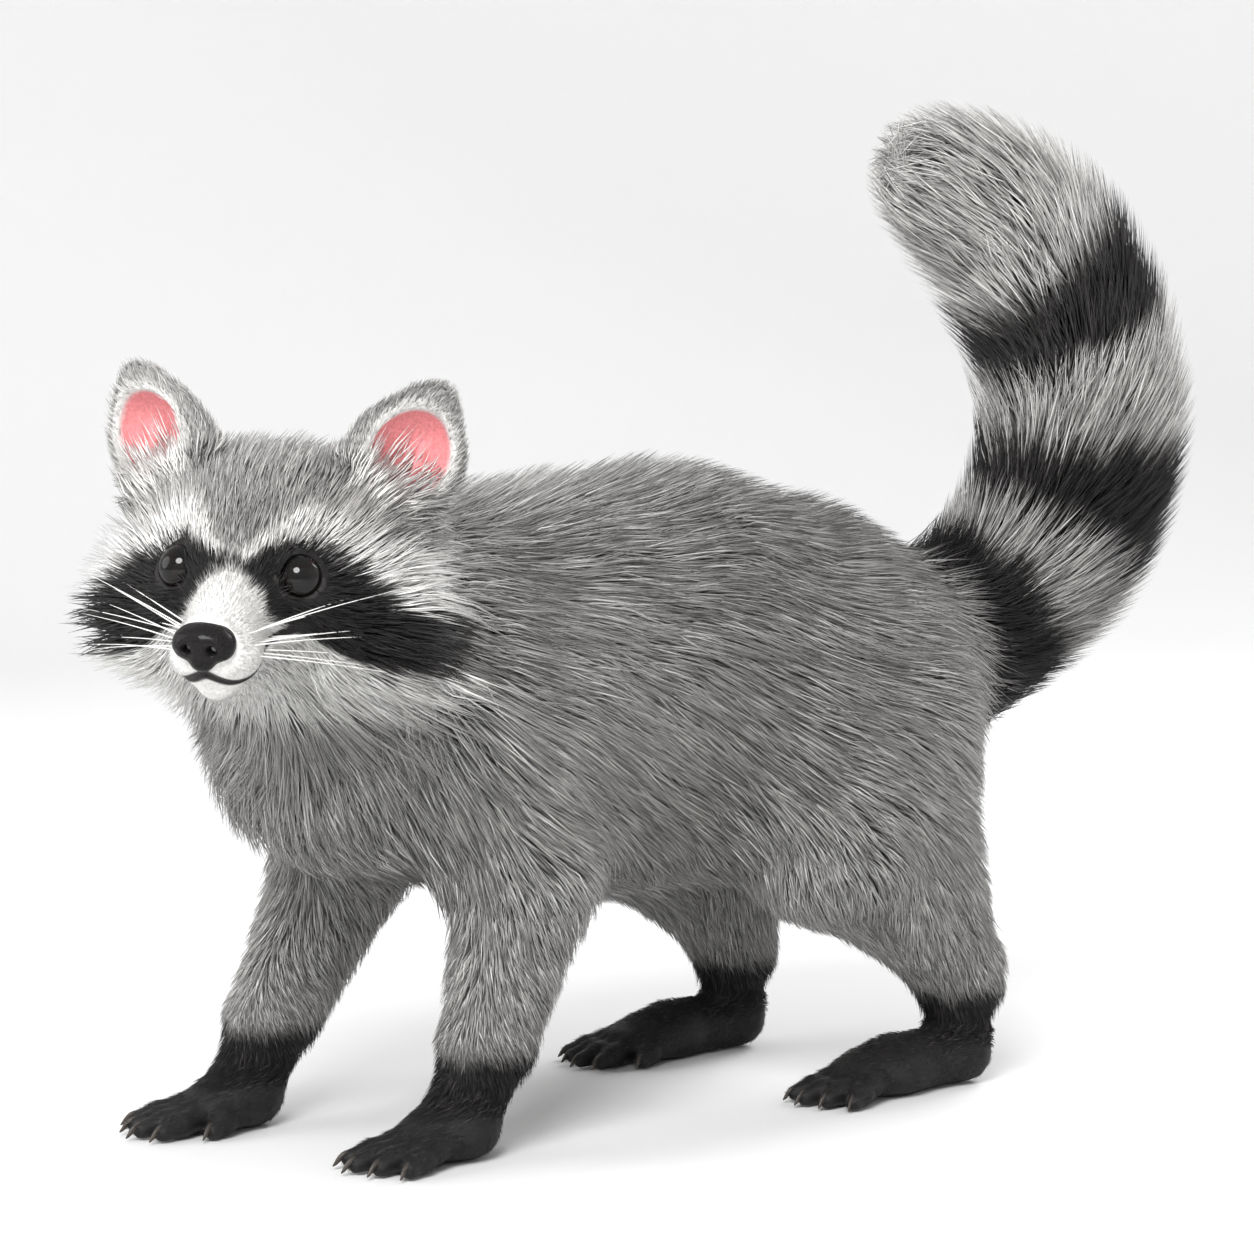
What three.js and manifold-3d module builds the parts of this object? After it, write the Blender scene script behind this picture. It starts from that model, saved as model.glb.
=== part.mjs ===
// A standing raccoon, life size, as a still museum model. Millimetres, +Z up.
// The animal faces -Y and its left side is +X. It stands on z = 0, with its head turned to its left
// and its ringed tail carried up. Every solid is the outer form of the coat, out to the hair tips:
// the whole animal is one smooth field of distances, which is netted piece by piece and parted by
// thin flat cuts.
import * as THREE from "three";
import { mergeVertices } from "three/addons/utils/BufferGeometryUtils.js";
import Module from "manifold-3d";

const wasm = await Module();
wasm.setup();

// ---------------------------------------------------------------- driving dimensions

const backHeight = 284; // floor to the top of the arched back
const trunkLength = 296; // breast to rump, between the centres of their curves
const trunkWidth = 0.9; // width of the trunk as a share of its depth
const frontTrack = 110; // between the two front paws, centre to centre
const hindTrack = 130; // between the two hind paws, centre to centre
const headPlace = { x: 46, y: -192, z: 240 }; // the middle of the skull
const headSize = 1.06; // of this animal's head beside an average one, whose sizes follow
const headTurn = { toLeft: 42, noseDown: 7, leftEarDown: 4 }; // degrees
const muzzleReach = 86; // middle of the skull to the front of the nose
const earHeight = 52;
const eyeRadius = 8.5;
const tailRadius = 48; // of the bushy tail where it is thickest
const gap = 0.3; // between neighbouring solids

const sides = { left: 1, right: -1 };
const bothSides = (make) => Object.values(sides).map(make);
const at = (x, y, z) => new THREE.Vector3(x, y, z);
const degrees = THREE.MathUtils.degToRad;

function frameAt(origin, nose, roll, turn) {
  const angles = new THREE.Euler(degrees(nose), degrees(roll), degrees(turn), "ZXY");
  return new THREE.Matrix4().compose(origin, new THREE.Quaternion().setFromEuler(angles), at(1, 1, 1));
}

// ---------------------------------------------------------------- fields
// A field gives the distance in mm from a point to a surface: negative inside.

// A round-ended limb that tapers from radius ra at a to rb at b.
function limb(a, b, ra, rb) {
  const axis = b.clone().sub(a);
  const q = new THREE.Vector3();
  return (p) => {
    const t = THREE.MathUtils.clamp(q.subVectors(p, a).dot(axis) / axis.lengthSq(), 0, 1);
    return q.copy(axis).multiplyScalar(t).add(a).distanceTo(p) - THREE.MathUtils.lerp(ra, rb, t);
  };
}

// An egg with half-axes rx, ry, rz, rolled about Y and turned about Z by the given degrees.
function egg(centre, rx, ry, rz, roll = 0, turn = 0) {
  const toEgg = frameAt(centre, 0, roll, turn).invert();
  const q = new THREE.Vector3();
  return (p) => {
    q.copy(p).applyMatrix4(toEgg);
    const reach = Math.hypot(q.x / rx, q.y / ry, q.z / rz);
    const slope = Math.hypot(q.x / rx ** 2, q.y / ry ** 2, q.z / rz ** 2);
    return slope < 1e-9 ? -Math.min(rx, ry, rz) : (reach * (reach - 1)) / slope;
  };
}

// The lesser of two distances, with the crease between them filled over a width k.
function meet(a, b, k) {
  const h = Math.max(k - Math.abs(a - b), 0) / k;
  return Math.min(a, b) - (h * h * k) / 4;
}

const blend = (k, fields) => (p) => fields.reduce((d, field) => meet(d, field(p), k), 1e6);
const hollowed = (k, field, hole) => (p) => -meet(-field(p), hole(p), k);

// The same field seen from another frame, whose matrix takes its points to those of the field.
function seenFrom(matrix, field) {
  const q = new THREE.Vector3();
  return (p) => field(q.copy(p).applyMatrix4(matrix));
}

// ---------------------------------------------------------------- from fields to solids

const solidOf = (positions, triangles) =>
  new wasm.Manifold(
    new wasm.Mesh({
      numProp: 3,
      vertProperties: new Float32Array(positions),
      triVerts: new Uint32Array(triangles),
    }),
  );

function fromGeometry(geometry) {
  geometry.deleteAttribute("normal");
  geometry.deleteAttribute("uv");
  const merged = mergeVertices(geometry);
  return solidOf(merged.getAttribute("position").array, merged.index.array);
}

// A cell of the net is a cube: its eight corners, its edges as pairs of corners, and its faces
// as rings of edges.
const corners = [0, 1, 2, 3, 4, 5, 6, 7].map((c) => [c & 1, (c >> 1) & 1, (c >> 2) & 1]);
const edges = [1, 2, 4].flatMap((bit) =>
  [...corners.keys()].filter((c) => !(c & bit)).map((c) => [c, c | bit]),
);
const faces = [1, 2, 4].flatMap((bit) =>
  [0, bit].map((side) => [...edges.keys()].filter((e) => edges[e].every((c) => (c & bit) === side))),
);
const edgeFrom = (corner, axis) =>
  edges.findIndex(([a, b]) => a === corner && b === (corner | (1 << axis)));

// For each choice of corners inside the surface, the edges that it crosses, with a list for each
// separate sheet of the surface in the cell.
const sheetsOf = Array.from({ length: 256 }, (_, pattern) => {
  const isInside = (c) => (pattern >> c) & 1;
  const sheet = edges.map(([a, b], e) => (isInside(a) !== isInside(b) ? e : -1));
  const join = ([e, f]) => {
    const [from, to] = [sheet[e], sheet[f]];
    sheet.forEach((name, i) => name === from && (sheet[i] = to));
  };
  for (const face of faces) {
    const crossed = face.filter((e) => sheet[e] >= 0);
    if (crossed.length === 2) join(crossed);
    if (crossed.length < 4) continue;
    for (const c of corners.keys()) {
      const pair = crossed.filter((e) => isInside(c) && edges[e].includes(c));
      if (pair.length) join(pair);
    }
  }
  const names = [...new Set(sheet.filter((name) => name >= 0))];
  return names.map((name) => [...edges.keys()].filter((e) => sheet[e] === name));
});

function forEachCell([nx, ny, nz], visit) {
  for (let k = 0; k < nz; k++) {
    for (let j = 0; j < ny; j++) {
      for (let i = 0; i < nx; i++) visit(i, j, k);
    }
  }
}

// The closed surface where a field is zero, inside a box, as a net of quads about one cell wide.
function netOf(field, low, high, cell) {
  const points = high.clone().sub(low).toArray().map((length) => Math.ceil(length / cell) + 1);
  const cells = points.map((n) => n - 1);
  const index = (i, j, k) => i + points[0] * (j + points[1] * k);
  const place = (i, j, k) => at(i, j, k).multiplyScalar(cell).add(low);
  const value = new Float64Array(points[0] * points[1] * points[2]);
  forEachCell(points, (i, j, k) => {
    const atEdge = [i, j, k].some((c, axis) => c === 0 || c === cells[axis]);
    const distance = field(place(i, j, k));
    value[index(i, j, k)] = atEdge ? Math.max(distance, cell / 4) : distance;
  });

  const vertices = [];
  const vertexOn = new Map();
  forEachCell(cells, (i, j, k) => {
    const v = corners.map(([x, y, z]) => value[index(i + x, j + y, k + z)]);
    const pattern = v.reduce((bits, d, c) => bits | ((d < 0) << c), 0);
    for (const sheet of sheetsOf[pattern]) {
      const middle = new THREE.Vector3();
      for (const e of sheet) {
        const [a, b] = edges[e];
        const crossing = at(...corners[a]).lerp(at(...corners[b]), v[a] / (v[a] - v[b]));
        middle.addScaledVector(crossing, cell / sheet.length);
        vertexOn.set(index(i, j, k) * edges.length + e, vertices.length);
      }
      vertices.push(drawnOnto(field, middle.add(place(i, j, k)), cell));
    }
  });

  const triangles = [];
  forEachCell(cells, (i, j, k) => {
    const inside = value[index(i, j, k)] < 0;
    for (const axis of [0, 1, 2]) {
      const next = [i, j, k].map((c, dir) => c + (dir === axis));
      if (inside === value[index(...next)] < 0) continue;
      const [u, w] = [(axis + 1) % 3, (axis + 2) % 3];
      const quad = [[0, 0], [1, 0], [1, 1], [0, 1]].map(([a, b]) => {
        const home = [i, j, k].map((c, dir) => c - a * (dir === u) - b * (dir === w));
        return vertexOn.get(index(...home) * edges.length + edgeFrom((a << u) | (b << w), axis));
      });
      triangles.push(...splitQuad(vertices, inside ? quad : quad.reverse()));
    }
  });
  return solidOf(vertices.flatMap((v) => v.toArray()), triangles);
}

// A point moved to where the field is zero, if that is less than half a cell away.
function drawnOnto(field, p, cell) {
  const step = cell / 20;
  const slope = new THREE.Vector3();
  for (const axis of [0, 1, 2]) {
    const [ahead, behind] = [step, -step].map((s) =>
      field(p.clone().setComponent(axis, p.getComponent(axis) + s)),
    );
    slope.setComponent(axis, (ahead - behind) / (2 * step));
  }
  const distance = field(p);
  if (slope.lengthSq() < 0.05 || Math.abs(distance) > cell / 2) return p;
  return p.addScaledVector(slope, -distance / Math.max(slope.lengthSq(), 0.5));
}

// Two triangles from a quad, split along its shorter diagonal.
function splitQuad(vertices, [a, b, c, d]) {
  const span = (i, j) => vertices[i].distanceTo(vertices[j]);
  return span(a, c) < span(b, d) ? [a, b, c, a, c, d] : [a, b, d, b, c, d];
}

// A closed tube through points, with a radius at each. One of its flat sides faces down.
function taperedTube(points, radii, sideCount) {
  const positions = [];
  const triangles = [];
  points.forEach((p, ring) => {
    const before = points[Math.max(ring - 1, 0)];
    const after = points[Math.min(ring + 1, points.length - 1)];
    const ahead = after.clone().sub(before).normalize();
    const across = new THREE.Vector3().crossVectors(ahead, at(0, 0, 1)).normalize();
    const up = new THREE.Vector3().crossVectors(across, ahead);
    for (let s = 0; s < sideCount; s++) {
      const turn = (2 * Math.PI * (s + 0.5)) / sideCount - Math.PI / 2;
      const spoke = across.clone().multiplyScalar(Math.cos(turn)).addScaledVector(up, Math.sin(turn));
      positions.push(...spoke.multiplyScalar(radii[ring]).add(p));
    }
  });
  const last = (points.length - 1) * sideCount;
  for (let s = 0; s < sideCount; s++) {
    const next = (s + 1) % sideCount;
    for (let ring = 0; ring < last; ring += sideCount) {
      triangles.push(ring + s, ring + sideCount + next, ring + next);
      triangles.push(ring + s, ring + sideCount + s, ring + sideCount + next);
    }
    if (s > 0 && s < sideCount - 1) triangles.push(0, s, s + 1, last, last + s + 1, last + s);
  }
  return solidOf(positions, triangles);
}

// A cut is a plane through a point. Half a gap short of it lies all that is behind the plane, on
// the side away from its normal.
function behind({ point, normal }, shift = -gap / 2) {
  const reach = 1500;
  const block = new THREE.BoxGeometry(reach, reach, reach).translate(0, 0, shift - reach / 2);
  const facing = normal.clone().normalize();
  block.applyQuaternion(new THREE.Quaternion().setFromUnitVectors(at(0, 0, 1), facing));
  return fromGeometry(block.translate(...point));
}

const ahead = ({ point, normal }, shift) => behind({ point, normal: normal.clone().negate() }, shift);

// ---------------------------------------------------------------- trunk

const breast = at(0, -trunkLength / 2 + 18, backHeight * 0.61);
const shoulders = at(0, -92, backHeight * 0.66);
const ribs = at(0, -30, backHeight * 0.67);
const loin = at(0, 34, backHeight * 0.683);
const hips = at(0, 112, backHeight * 0.64);
const rump = at(0, trunkLength / 2 + 16, backHeight * 0.6);

const roundTrunk = blend(12, [
  limb(breast, shoulders, 60, 77),
  limb(shoulders, ribs, 77, 88),
  limb(ribs, loin, 88, backHeight - loin.z),
  limb(loin, hips, backHeight - loin.z, 84),
  limb(hips, rump, 84, 60),
  limb(at(0, -20, 154), at(0, 76, 155), 64, 60), // the belly
]);
const trunkField = seenFrom(new THREE.Matrix4().makeScale(1 / trunkWidth, 1, 1), roundTrunk);

// ---------------------------------------------------------------- head, in its own frame

const { x: headX, y: headY, z: headZ } = headPlace;
const { toLeft, noseDown, leftEarDown } = headTurn;
const headFrame = frameAt(at(headX, headY, headZ), noseDown, leftEarDown, toLeft);
headFrame.scale(at(headSize, headSize, headSize));
const toHead = headFrame.clone().invert();
// A point in the head's frame: to its left, forward along the muzzle, and up.
const onHead = (left, forward, up) => at(left, -forward, up);
// The same point in the animal's frame, and a direction.
const fromHead = (left, forward, up) => onHead(left, forward, up).applyMatrix4(headFrame);
const headWay = (left, forward, up) => onHead(left, forward, up).transformDirection(headFrame);

const muzzleField = blend(9, [
  limb(onHead(0, 30, -5), onHead(0, muzzleReach - 22, -13), 21, 11.5),
  limb(onHead(0, 30, 10), onHead(0, muzzleReach - 15, -8), 12, 6.5), // bridge of the nose
  limb(onHead(0, 24, -24), onHead(0, muzzleReach - 26, -26), 15, 8), // lower jaw
  ...bothSides((side) => egg(onHead(side * 8, muzzleReach - 25, -18), 9.5, 14, 9)), // whisker pads
]);

const skullField = blend(18, [
  egg(onHead(0, -13, 10), 46, 48, 38), // crown
  egg(onHead(0, 20, 8), 34, 28, 24), // brow
  egg(onHead(0, 2, -25), 40, 32, 26), // throat
  ...bothSides((side) => limb(onHead(side * 20, 32, -2), onHead(side * 36, 6, -6), 12, 22)), // cheekbones
  ...bothSides((side) => egg(onHead(side * 43, -10, -14), 40, 25, 33, side * 22, side * -20)), // ruffs
  ...bothSides((side) => egg(onHead(side * 34, -12, 2), 28, 25, 30)), // temples
  ...bothSides((side) => egg(onHead(side * 35, -15, 22), 23, 19, 22)), // ear roots
]);

const eyePlace = (side) => onHead(side * 21.5, 36, 8);
const eyeLine = (side, distance) =>
  eyePlace(side).addScaledVector(onHead(side * 0.5, 0.86, 0.06).normalize(), distance);
const eyeHollow = (side) => limb(eyeLine(side, 10), eyeLine(side, 26), 8.5, 14);

const headField = bothSides(eyeHollow).reduce(
  (field, hollow) => hollowed(5, field, hollow),
  blend(14, [skullField, muzzleField]),
);

const noseField = blend(3, [
  egg(onHead(0, muzzleReach - 9, -10.5), 9, 9, 6.2),
  egg(onHead(0, muzzleReach - 10, -14), 5.5, 8, 7), // between the nostrils
]);

// An ear is a tall cup, open to the front, that leans out from the top of the head.
const earFrame = (side) => frameAt(onHead(side * 38, -14, 27), 6, side * 25, side * 18);
const earCup = hollowed(
  5,
  blend(6, [
    egg(at(0, 0, earHeight * 0.36), 24, 12.5, earHeight * 0.48),
    egg(at(0, 1, earHeight * 0.66), 14, 8.5, earHeight * 0.34), // tip
  ]),
  egg(at(0, -10, earHeight * 0.48), 15, 13, earHeight * 0.34),
);

// ---------------------------------------------------------------- neck

const neckField = blend(16, [
  limb(at(2, -94, 202), fromHead(0, -30, -10), 69, 56), // withers to nape
  limb(at(6, -124, 176), fromHead(0, -16, -32), 56, 43), // chest to throat
]);

// ---------------------------------------------------------------- legs
// stride moves the paw forward of a square stance.

const legs = [
  { name: "front_left", side: sides.left, hind: false, stride: 0 },
  { name: "front_right", side: sides.right, hind: false, stride: 36 },
  { name: "hind_left", side: sides.left, hind: true, stride: 0 },
  { name: "hind_right", side: sides.right, hind: true, stride: 26 },
];

function frontLeg({ side, stride }) {
  const x = (side * frontTrack) / 2;
  const elbow = at(side * 57, -76 - stride * 0.4, 116);
  const wrist = at(x, -96 - stride, 42);
  const paw = at(x, -112 - stride, 0);
  const field = blend(8, [
    limb(at(side * 49, -98, 182), elbow, 44, 32), // shoulder to elbow
    limb(elbow, wrist, 31, 19.5),
    limb(wrist, at(x, paw.y + 4, 14), 19.5, 15),
  ]);
  const pawCut = { point: wrist.clone().setZ(34), normal: at(0, 0.1, 1) };
  return { paw, field, pawCut };
}

function hindLeg({ side, stride }) {
  const x = (side * hindTrack) / 2;
  const knee = at(side * 63, 82 - stride * 0.5, 120);
  const calf = at(side * 60, 140 - stride * 0.6, 95);
  const hock = at(x, 160 - stride, 52);
  const paw = at(x, 128 - stride, 0);
  const field = blend(12, [
    limb(at(side * 44, 116, 172), knee, 57, 42), // hip to knee
    limb(at(side * 50, 126, 152), calf, 47, 29), // back of the thigh
    limb(calf, hock, 28, 18),
    limb(knee, hock, 36, 18),
    limb(hock, at(x, paw.y + 34, 15), 18, 14), // down to the heel
  ]);
  const pawCut = { point: hock.clone().setZ(40), normal: at(0, 0.25, 1) };
  return { paw, field, pawCut };
}

for (const leg of legs) Object.assign(leg, leg.hind ? hindLeg(leg) : frontLeg(leg));

// Four cuts bound the room of a leg, below and outside the trunk.
function legRoom({ side, hind }, shift) {
  const armpit = hind ? at(side * 20, 0, 132) : at(side * 24, 0, 114);
  const foreAndAft = hind
    ? [
        { point: at(0, 47, 100), normal: at(0, -0.86, 0.5) },
        { point: at(0, 196, 0), normal: at(0, 1, 0) },
      ]
    : [
        { point: at(0, -190, 0), normal: at(0, -1, 0) },
        { point: at(0, -44, 0), normal: at(0, 1, 0) },
      ];
  const cuts = [
    { point: armpit, normal: at(-side * 0.6, 0, 0.8) },
    { point: armpit, normal: at(-side, 0, 0) },
    ...foreAndAft,
  ];
  return cuts.map((cut) => behind(cut, shift)).reduce((room, half) => room.intersect(half));
}

// ---------------------------------------------------------------- tail

const tailLine = new THREE.CatmullRomCurve3(
  [
    at(0, 168, 186), // inside the rump
    at(3, 224, 204),
    at(10, 270, 244),
    at(18, 286, 304), // furthest back
    at(20, 266, 355),
    at(16, 234, 392),
    at(9, 198, 414), // the middle of the round tip
  ],
  false,
  "centripetal",
);
// The coat is slim at the tail's root, full from a third on, and narrows to the tip.
const tailGirth = (t) => tailRadius * Math.min(0.7 + 0.9 * t, 1, 0.72 + 1.9 * (1 - t));
const tailSteps = 14;
const tailField = blend(
  10,
  Array.from({ length: tailSteps }, (_, i) => {
    const [a, b] = [i / tailSteps, (i + 1) / tailSteps];
    return limb(tailLine.getPointAt(a), tailLine.getPointAt(b), tailGirth(a), tailGirth(b));
  }),
);
const tailCut = (t) => ({ point: tailLine.getPointAt(t), normal: tailLine.getTangentAt(t) });

// ---------------------------------------------------------------- the whole coat, and its cuts

const bodyField = blend(22, [
  trunkField,
  neckField,
  tailField,
  ...legs.map((leg) => leg.field),
  seenFrom(toHead, headField),
]);
const bodyInHeadFrame = seenFrom(headFrame, bodyField);

const muzzleCut = { point: fromHead(0, 47, 0), normal: headWay(0, 1, 0.12) };
const headCut = { point: fromHead(0, -30, -14), normal: headWay(0, -1, -0.5) };
const neckCut = { point: at(4, -108, 200), normal: at(0.06, 1, -0.6) };
const tailCuts = { root: tailCut(0.13), middle: tailCut(0.42), tip: tailCut(0.71) };

// ---------------------------------------------------------------- materials

const finish = (color, roughness) => new THREE.MeshStandardMaterial({ color, roughness, metalness: 0 });
const greyFur = finish(0x8d8a86, 0.9);
const whiteFur = finish(0xe9e6e1, 0.9);
const blackFur = finish(0x1c1a19, 0.85);
const moistSkin = finish(0x111011, 0.35);
const glassEye = finish(0x0a0706, 0.05);

// ---------------------------------------------------------------- the pieces

const animal = new THREE.Group();
const headGroup = new THREE.Group();
headGroup.applyMatrix4(headFrame);
animal.add(headGroup);

function add(name, solid, material, parent = animal) {
  const { vertProperties, triVerts, numProp, numVert } = solid.getMesh();
  const positions = new Float32Array(numVert * 3);
  for (let i = 0; i < numVert; i++) {
    positions.set(vertProperties.subarray(i * numProp, i * numProp + 3), i * 3);
  }
  const geometry = new THREE.BufferGeometry();
  geometry.setAttribute("position", new THREE.BufferAttribute(positions, 3));
  geometry.setIndex(new THREE.BufferAttribute(triVerts, 1));
  geometry.computeVertexNormals();
  const mesh = new THREE.Mesh(geometry, material);
  mesh.name = name;
  parent.add(mesh);
}

// From the base of the neck to the root of the tail, less the room of the four legs.
function addTrunk() {
  const net = netOf(bodyField, at(-120, -230, 40), at(120, 260, 320), 28);
  const barrel = net.intersect(ahead(neckCut)).intersect(behind(tailCuts.root));
  add("trunk", legs.reduce((trunk, leg) => trunk.subtract(legRoom(leg, gap / 2)), barrel), greyFur);
}

function addNeck() {
  const net = netOf(bodyField, at(-90, -225, 90), at(135, -15, 320), 16);
  add("neck", net.intersect(behind(neckCut)).intersect(ahead(headCut)), greyFur);
}

// The skull and the muzzle, with a socket for each eye. The nose and ears rest on them.
function addHead() {
  const skull = netOf(bodyInHeadFrame, onHead(-99, 66, -100), onHead(99, -90, 72), 11.6);
  const snout = netOf(bodyInHeadFrame, onHead(-48, 90, -54), onHead(48, 30, 30), 6.8);
  const ball = (side, radius) =>
    fromGeometry(new THREE.SphereGeometry(radius, 10, 7).translate(...eyePlace(side)));
  const sockets = bothSides((side) => ball(side, eyeRadius + gap));
  const withSockets = (solid) => sockets.reduce((rest, socket) => rest.subtract(socket), solid);
  const inHeadFrame = (solid) => solid.transform(toHead.elements);

  const head = skull.intersect(inHeadFrame(behind(headCut))).intersect(inHeadFrame(behind(muzzleCut)));
  add("head", withSockets(head), greyFur, headGroup);
  add("muzzle", withSockets(snout.intersect(inHeadFrame(ahead(muzzleCut)))), whiteFur, headGroup);

  const nose = netOf(noseField, onHead(-16, 100, -30), onHead(16, 56, 4), 3.9).subtract(snout);
  add("nose", nose.translate([...onHead(0, gap, 0)]), moistSkin, headGroup);

  for (const [name, side] of Object.entries(sides)) {
    add(`eye_${name}`, ball(side, eyeRadius), glassEye, headGroup);
    const earField = seenFrom(earFrame(side).invert(), earCup);
    const ear = netOf(earField, at(-100, -40, -6), at(100, 60, 110), 6.8).subtract(skull);
    const outward = at(0, 0, 1).transformDirection(earFrame(side)).multiplyScalar(2 * gap);
    add(`ear_${name}`, ear.translate([...outward]), greyFur, headGroup);
  }
}

function addTail() {
  const length = (low, high) => netOf(bodyField, low, high, 19);
  const base = length(at(-70, 140, 110), at(80, 350, 330));
  const middle = length(at(-70, 170, 210), at(80, 350, 430));
  const tip = length(at(-70, 110, 290), at(80, 350, 480));
  add("tail_base", base.intersect(ahead(tailCuts.root)).intersect(behind(tailCuts.middle)), greyFur);
  add("tail_middle", middle.intersect(ahead(tailCuts.middle)).intersect(behind(tailCuts.tip)), greyFur);
  add("tail_tip", tip.intersect(ahead(tailCuts.tip)), greyFur);
}

function addLeg(leg) {
  const { x, y } = leg.paw;
  const net = netOf(bodyField, at(x - 70, y - 90, 20), at(x + 70, y + 110, 200), 16.5);
  const shank = net.intersect(legRoom(leg)).intersect(ahead(leg.pawCut));
  add(`${leg.name}_leg`, shank, greyFur);
}

// A paw has a flat sole, and five toes that fan out from it, each with a claw joined on.
// The innermost toe is shorter and sits further back.
const toeFan = [-26, -12, 0, 12, 26]; // degrees from straight ahead, inner toe first
const toeRadii = [6.4, 5.9, 5.4, 3];
const clawRadii = [2, 1.6, 0.6];

function addPaw(leg) {
  const { x, y } = leg.paw;
  const sole = leg.hind
    ? blend(8, [egg(at(x, y - 16, 11), 19, 24, 12.5), limb(at(x, y + 34, 14), at(x, y - 6, 12), 13.5, 15)])
    : egg(at(x, y - 2, 11.5), 19, 22, 13);
  const palmField = blend(8, [sole, leg.field]);
  let paw = netOf(palmField, at(x - 45, y - 56, -12), at(x + 45, y + 79, 72), 13);
  const reach = leg.hind ? 27 : 30;
  const knuckles = leg.hind ? y - 28 : y - 12;
  toeFan.forEach((angle, i) => {
    const inner = i === 0;
    const length = reach * (inner ? 0.66 : 1 - Math.abs(angle) / 130);
    const turn = degrees(angle * leg.side);
    const root = at(x + Math.sin(turn) * 26, knuckles - (Math.cos(turn) - 0.8) * 22 + (inner ? 8 : 0), 0);
    const along = (distance, height) =>
      at(Math.sin(turn) * distance, -Math.cos(turn) * distance, height).add(root);
    const toe = [along(-8, 8.5), along(length * 0.45, 6.5), along(length * 0.85, 4), along(length + 2, 3.2)];
    const claw = [along(length - 2, 5.6), along(length + 5, 4.8), along(length + 10.5, 1.2)];
    paw = paw.add(taperedTube(toe, toeRadii, 5)).add(taperedTube(claw, clawRadii, 4));
  });
  const floor = { point: at(0, 0, 0), normal: at(0, 0, 1) };
  add(`${leg.name}_paw`, paw.intersect(behind(leg.pawCut)).intersect(ahead(floor, 0)), blackFur);
}

addTrunk();
addNeck();
addHead();
addTail();
for (const leg of legs) {
  addLeg(leg);
  addPaw(leg);
}

// The origin is on the floor, below the middle of the whole animal.
animal.updateMatrixWorld(true);
const extent = new THREE.Box3().setFromObject(animal, true);
animal.position.set(-(extent.min.x + extent.max.x) / 2, -(extent.min.y + extent.max.y) / 2, 0);

export default animal;
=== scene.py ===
# A standing raccoon, life size, as a still museum model. Metres, +Z up: the animal faces -Y and its
# left side is +X. The skin, eyes, nose, claws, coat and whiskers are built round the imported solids,
# whose outside is the tips of the coat.
import bmesh
import bpy
import numpy as np
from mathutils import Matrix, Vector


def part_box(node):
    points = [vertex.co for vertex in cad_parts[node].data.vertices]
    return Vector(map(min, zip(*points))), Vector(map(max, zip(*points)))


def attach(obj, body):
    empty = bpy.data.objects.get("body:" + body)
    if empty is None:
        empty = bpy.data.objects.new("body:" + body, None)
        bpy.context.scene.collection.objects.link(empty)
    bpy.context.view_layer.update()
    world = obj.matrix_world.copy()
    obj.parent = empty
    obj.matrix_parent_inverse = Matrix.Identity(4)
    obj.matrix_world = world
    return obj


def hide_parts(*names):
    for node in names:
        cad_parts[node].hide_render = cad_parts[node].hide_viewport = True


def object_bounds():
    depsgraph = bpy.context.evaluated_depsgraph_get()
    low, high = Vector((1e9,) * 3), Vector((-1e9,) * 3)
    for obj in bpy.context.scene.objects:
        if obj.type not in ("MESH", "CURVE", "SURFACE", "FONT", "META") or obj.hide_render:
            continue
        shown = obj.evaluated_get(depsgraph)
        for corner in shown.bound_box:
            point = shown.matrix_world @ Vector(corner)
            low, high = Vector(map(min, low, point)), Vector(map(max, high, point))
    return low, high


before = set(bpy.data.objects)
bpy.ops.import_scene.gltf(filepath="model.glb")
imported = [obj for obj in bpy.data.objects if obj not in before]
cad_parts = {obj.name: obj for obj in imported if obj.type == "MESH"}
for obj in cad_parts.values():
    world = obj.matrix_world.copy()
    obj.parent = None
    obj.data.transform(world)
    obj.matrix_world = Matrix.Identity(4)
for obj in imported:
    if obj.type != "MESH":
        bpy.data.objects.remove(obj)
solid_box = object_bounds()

import openvdb as vdb
from mathutils import Vector
from mathutils.kdtree import KDTree

# ---------------- the skin
# One closed hide over the whole body, from the lips to the tip of the tail, with no seam. It lies
# inside the solids by the depth of the coat, and has the lids, lips, ears and toes. It is worked out
# as one field of distances in millimetres: negative inside the animal, and zero on its skin.
MM = 0.001
FLESH = ["head", "muzzle", "ear_left", "ear_right", "neck", "trunk", "tail_base", "tail_middle",
         "tail_tip"]
FLESH += [f"{end}_{side}_{part}" for part in ("leg", "paw") for end in ("front", "hind")
          for side in ("left", "right")]
LEFT_AND_RIGHT = (1, -1)


def rotation(nose, roll, turn):
    """Turned about Y by roll, then about X by nose, and then about Z by turn, in degrees."""
    a, b, c = np.radians((nose, roll, turn))
    about_x = np.array([[1, 0, 0], [0, np.cos(a), -np.sin(a)], [0, np.sin(a), np.cos(a)]])
    about_y = np.array([[np.cos(b), 0, np.sin(b)], [0, 1, 0], [-np.sin(b), 0, np.cos(b)]])
    about_z = np.array([[np.cos(c), -np.sin(c), 0], [np.sin(c), np.cos(c), 0], [0, 0, 1]])
    return about_z @ about_x @ about_y


# The head's own frame measures to its left, forward and up from the middle of the skull, in
# millimetres of an average head. This head is a little larger, and is turned to the animal's left.
HEAD_SIZE = 1.06
HEAD_MIDDLE = (0, 5, 10)
FACE_MIDDLE = (0, 45, 0)
EYE_PLACE = np.array([21.5, 36, 8])
EYE_RADIUS = 8.5
LEFT_FORWARD_UP = np.diag([1.0, -1.0, 1.0])
head_axes = rotation(nose=7, roll=4, turn=42) @ LEFT_FORWARD_UP
between_eyes = sum(np.array(corner) for eye in ("eye_left", "eye_right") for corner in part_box(eye)) / 4
skull_centre = between_eyes - head_axes @ (EYE_PLACE * (0, 1, 1)) * HEAD_SIZE * MM

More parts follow.
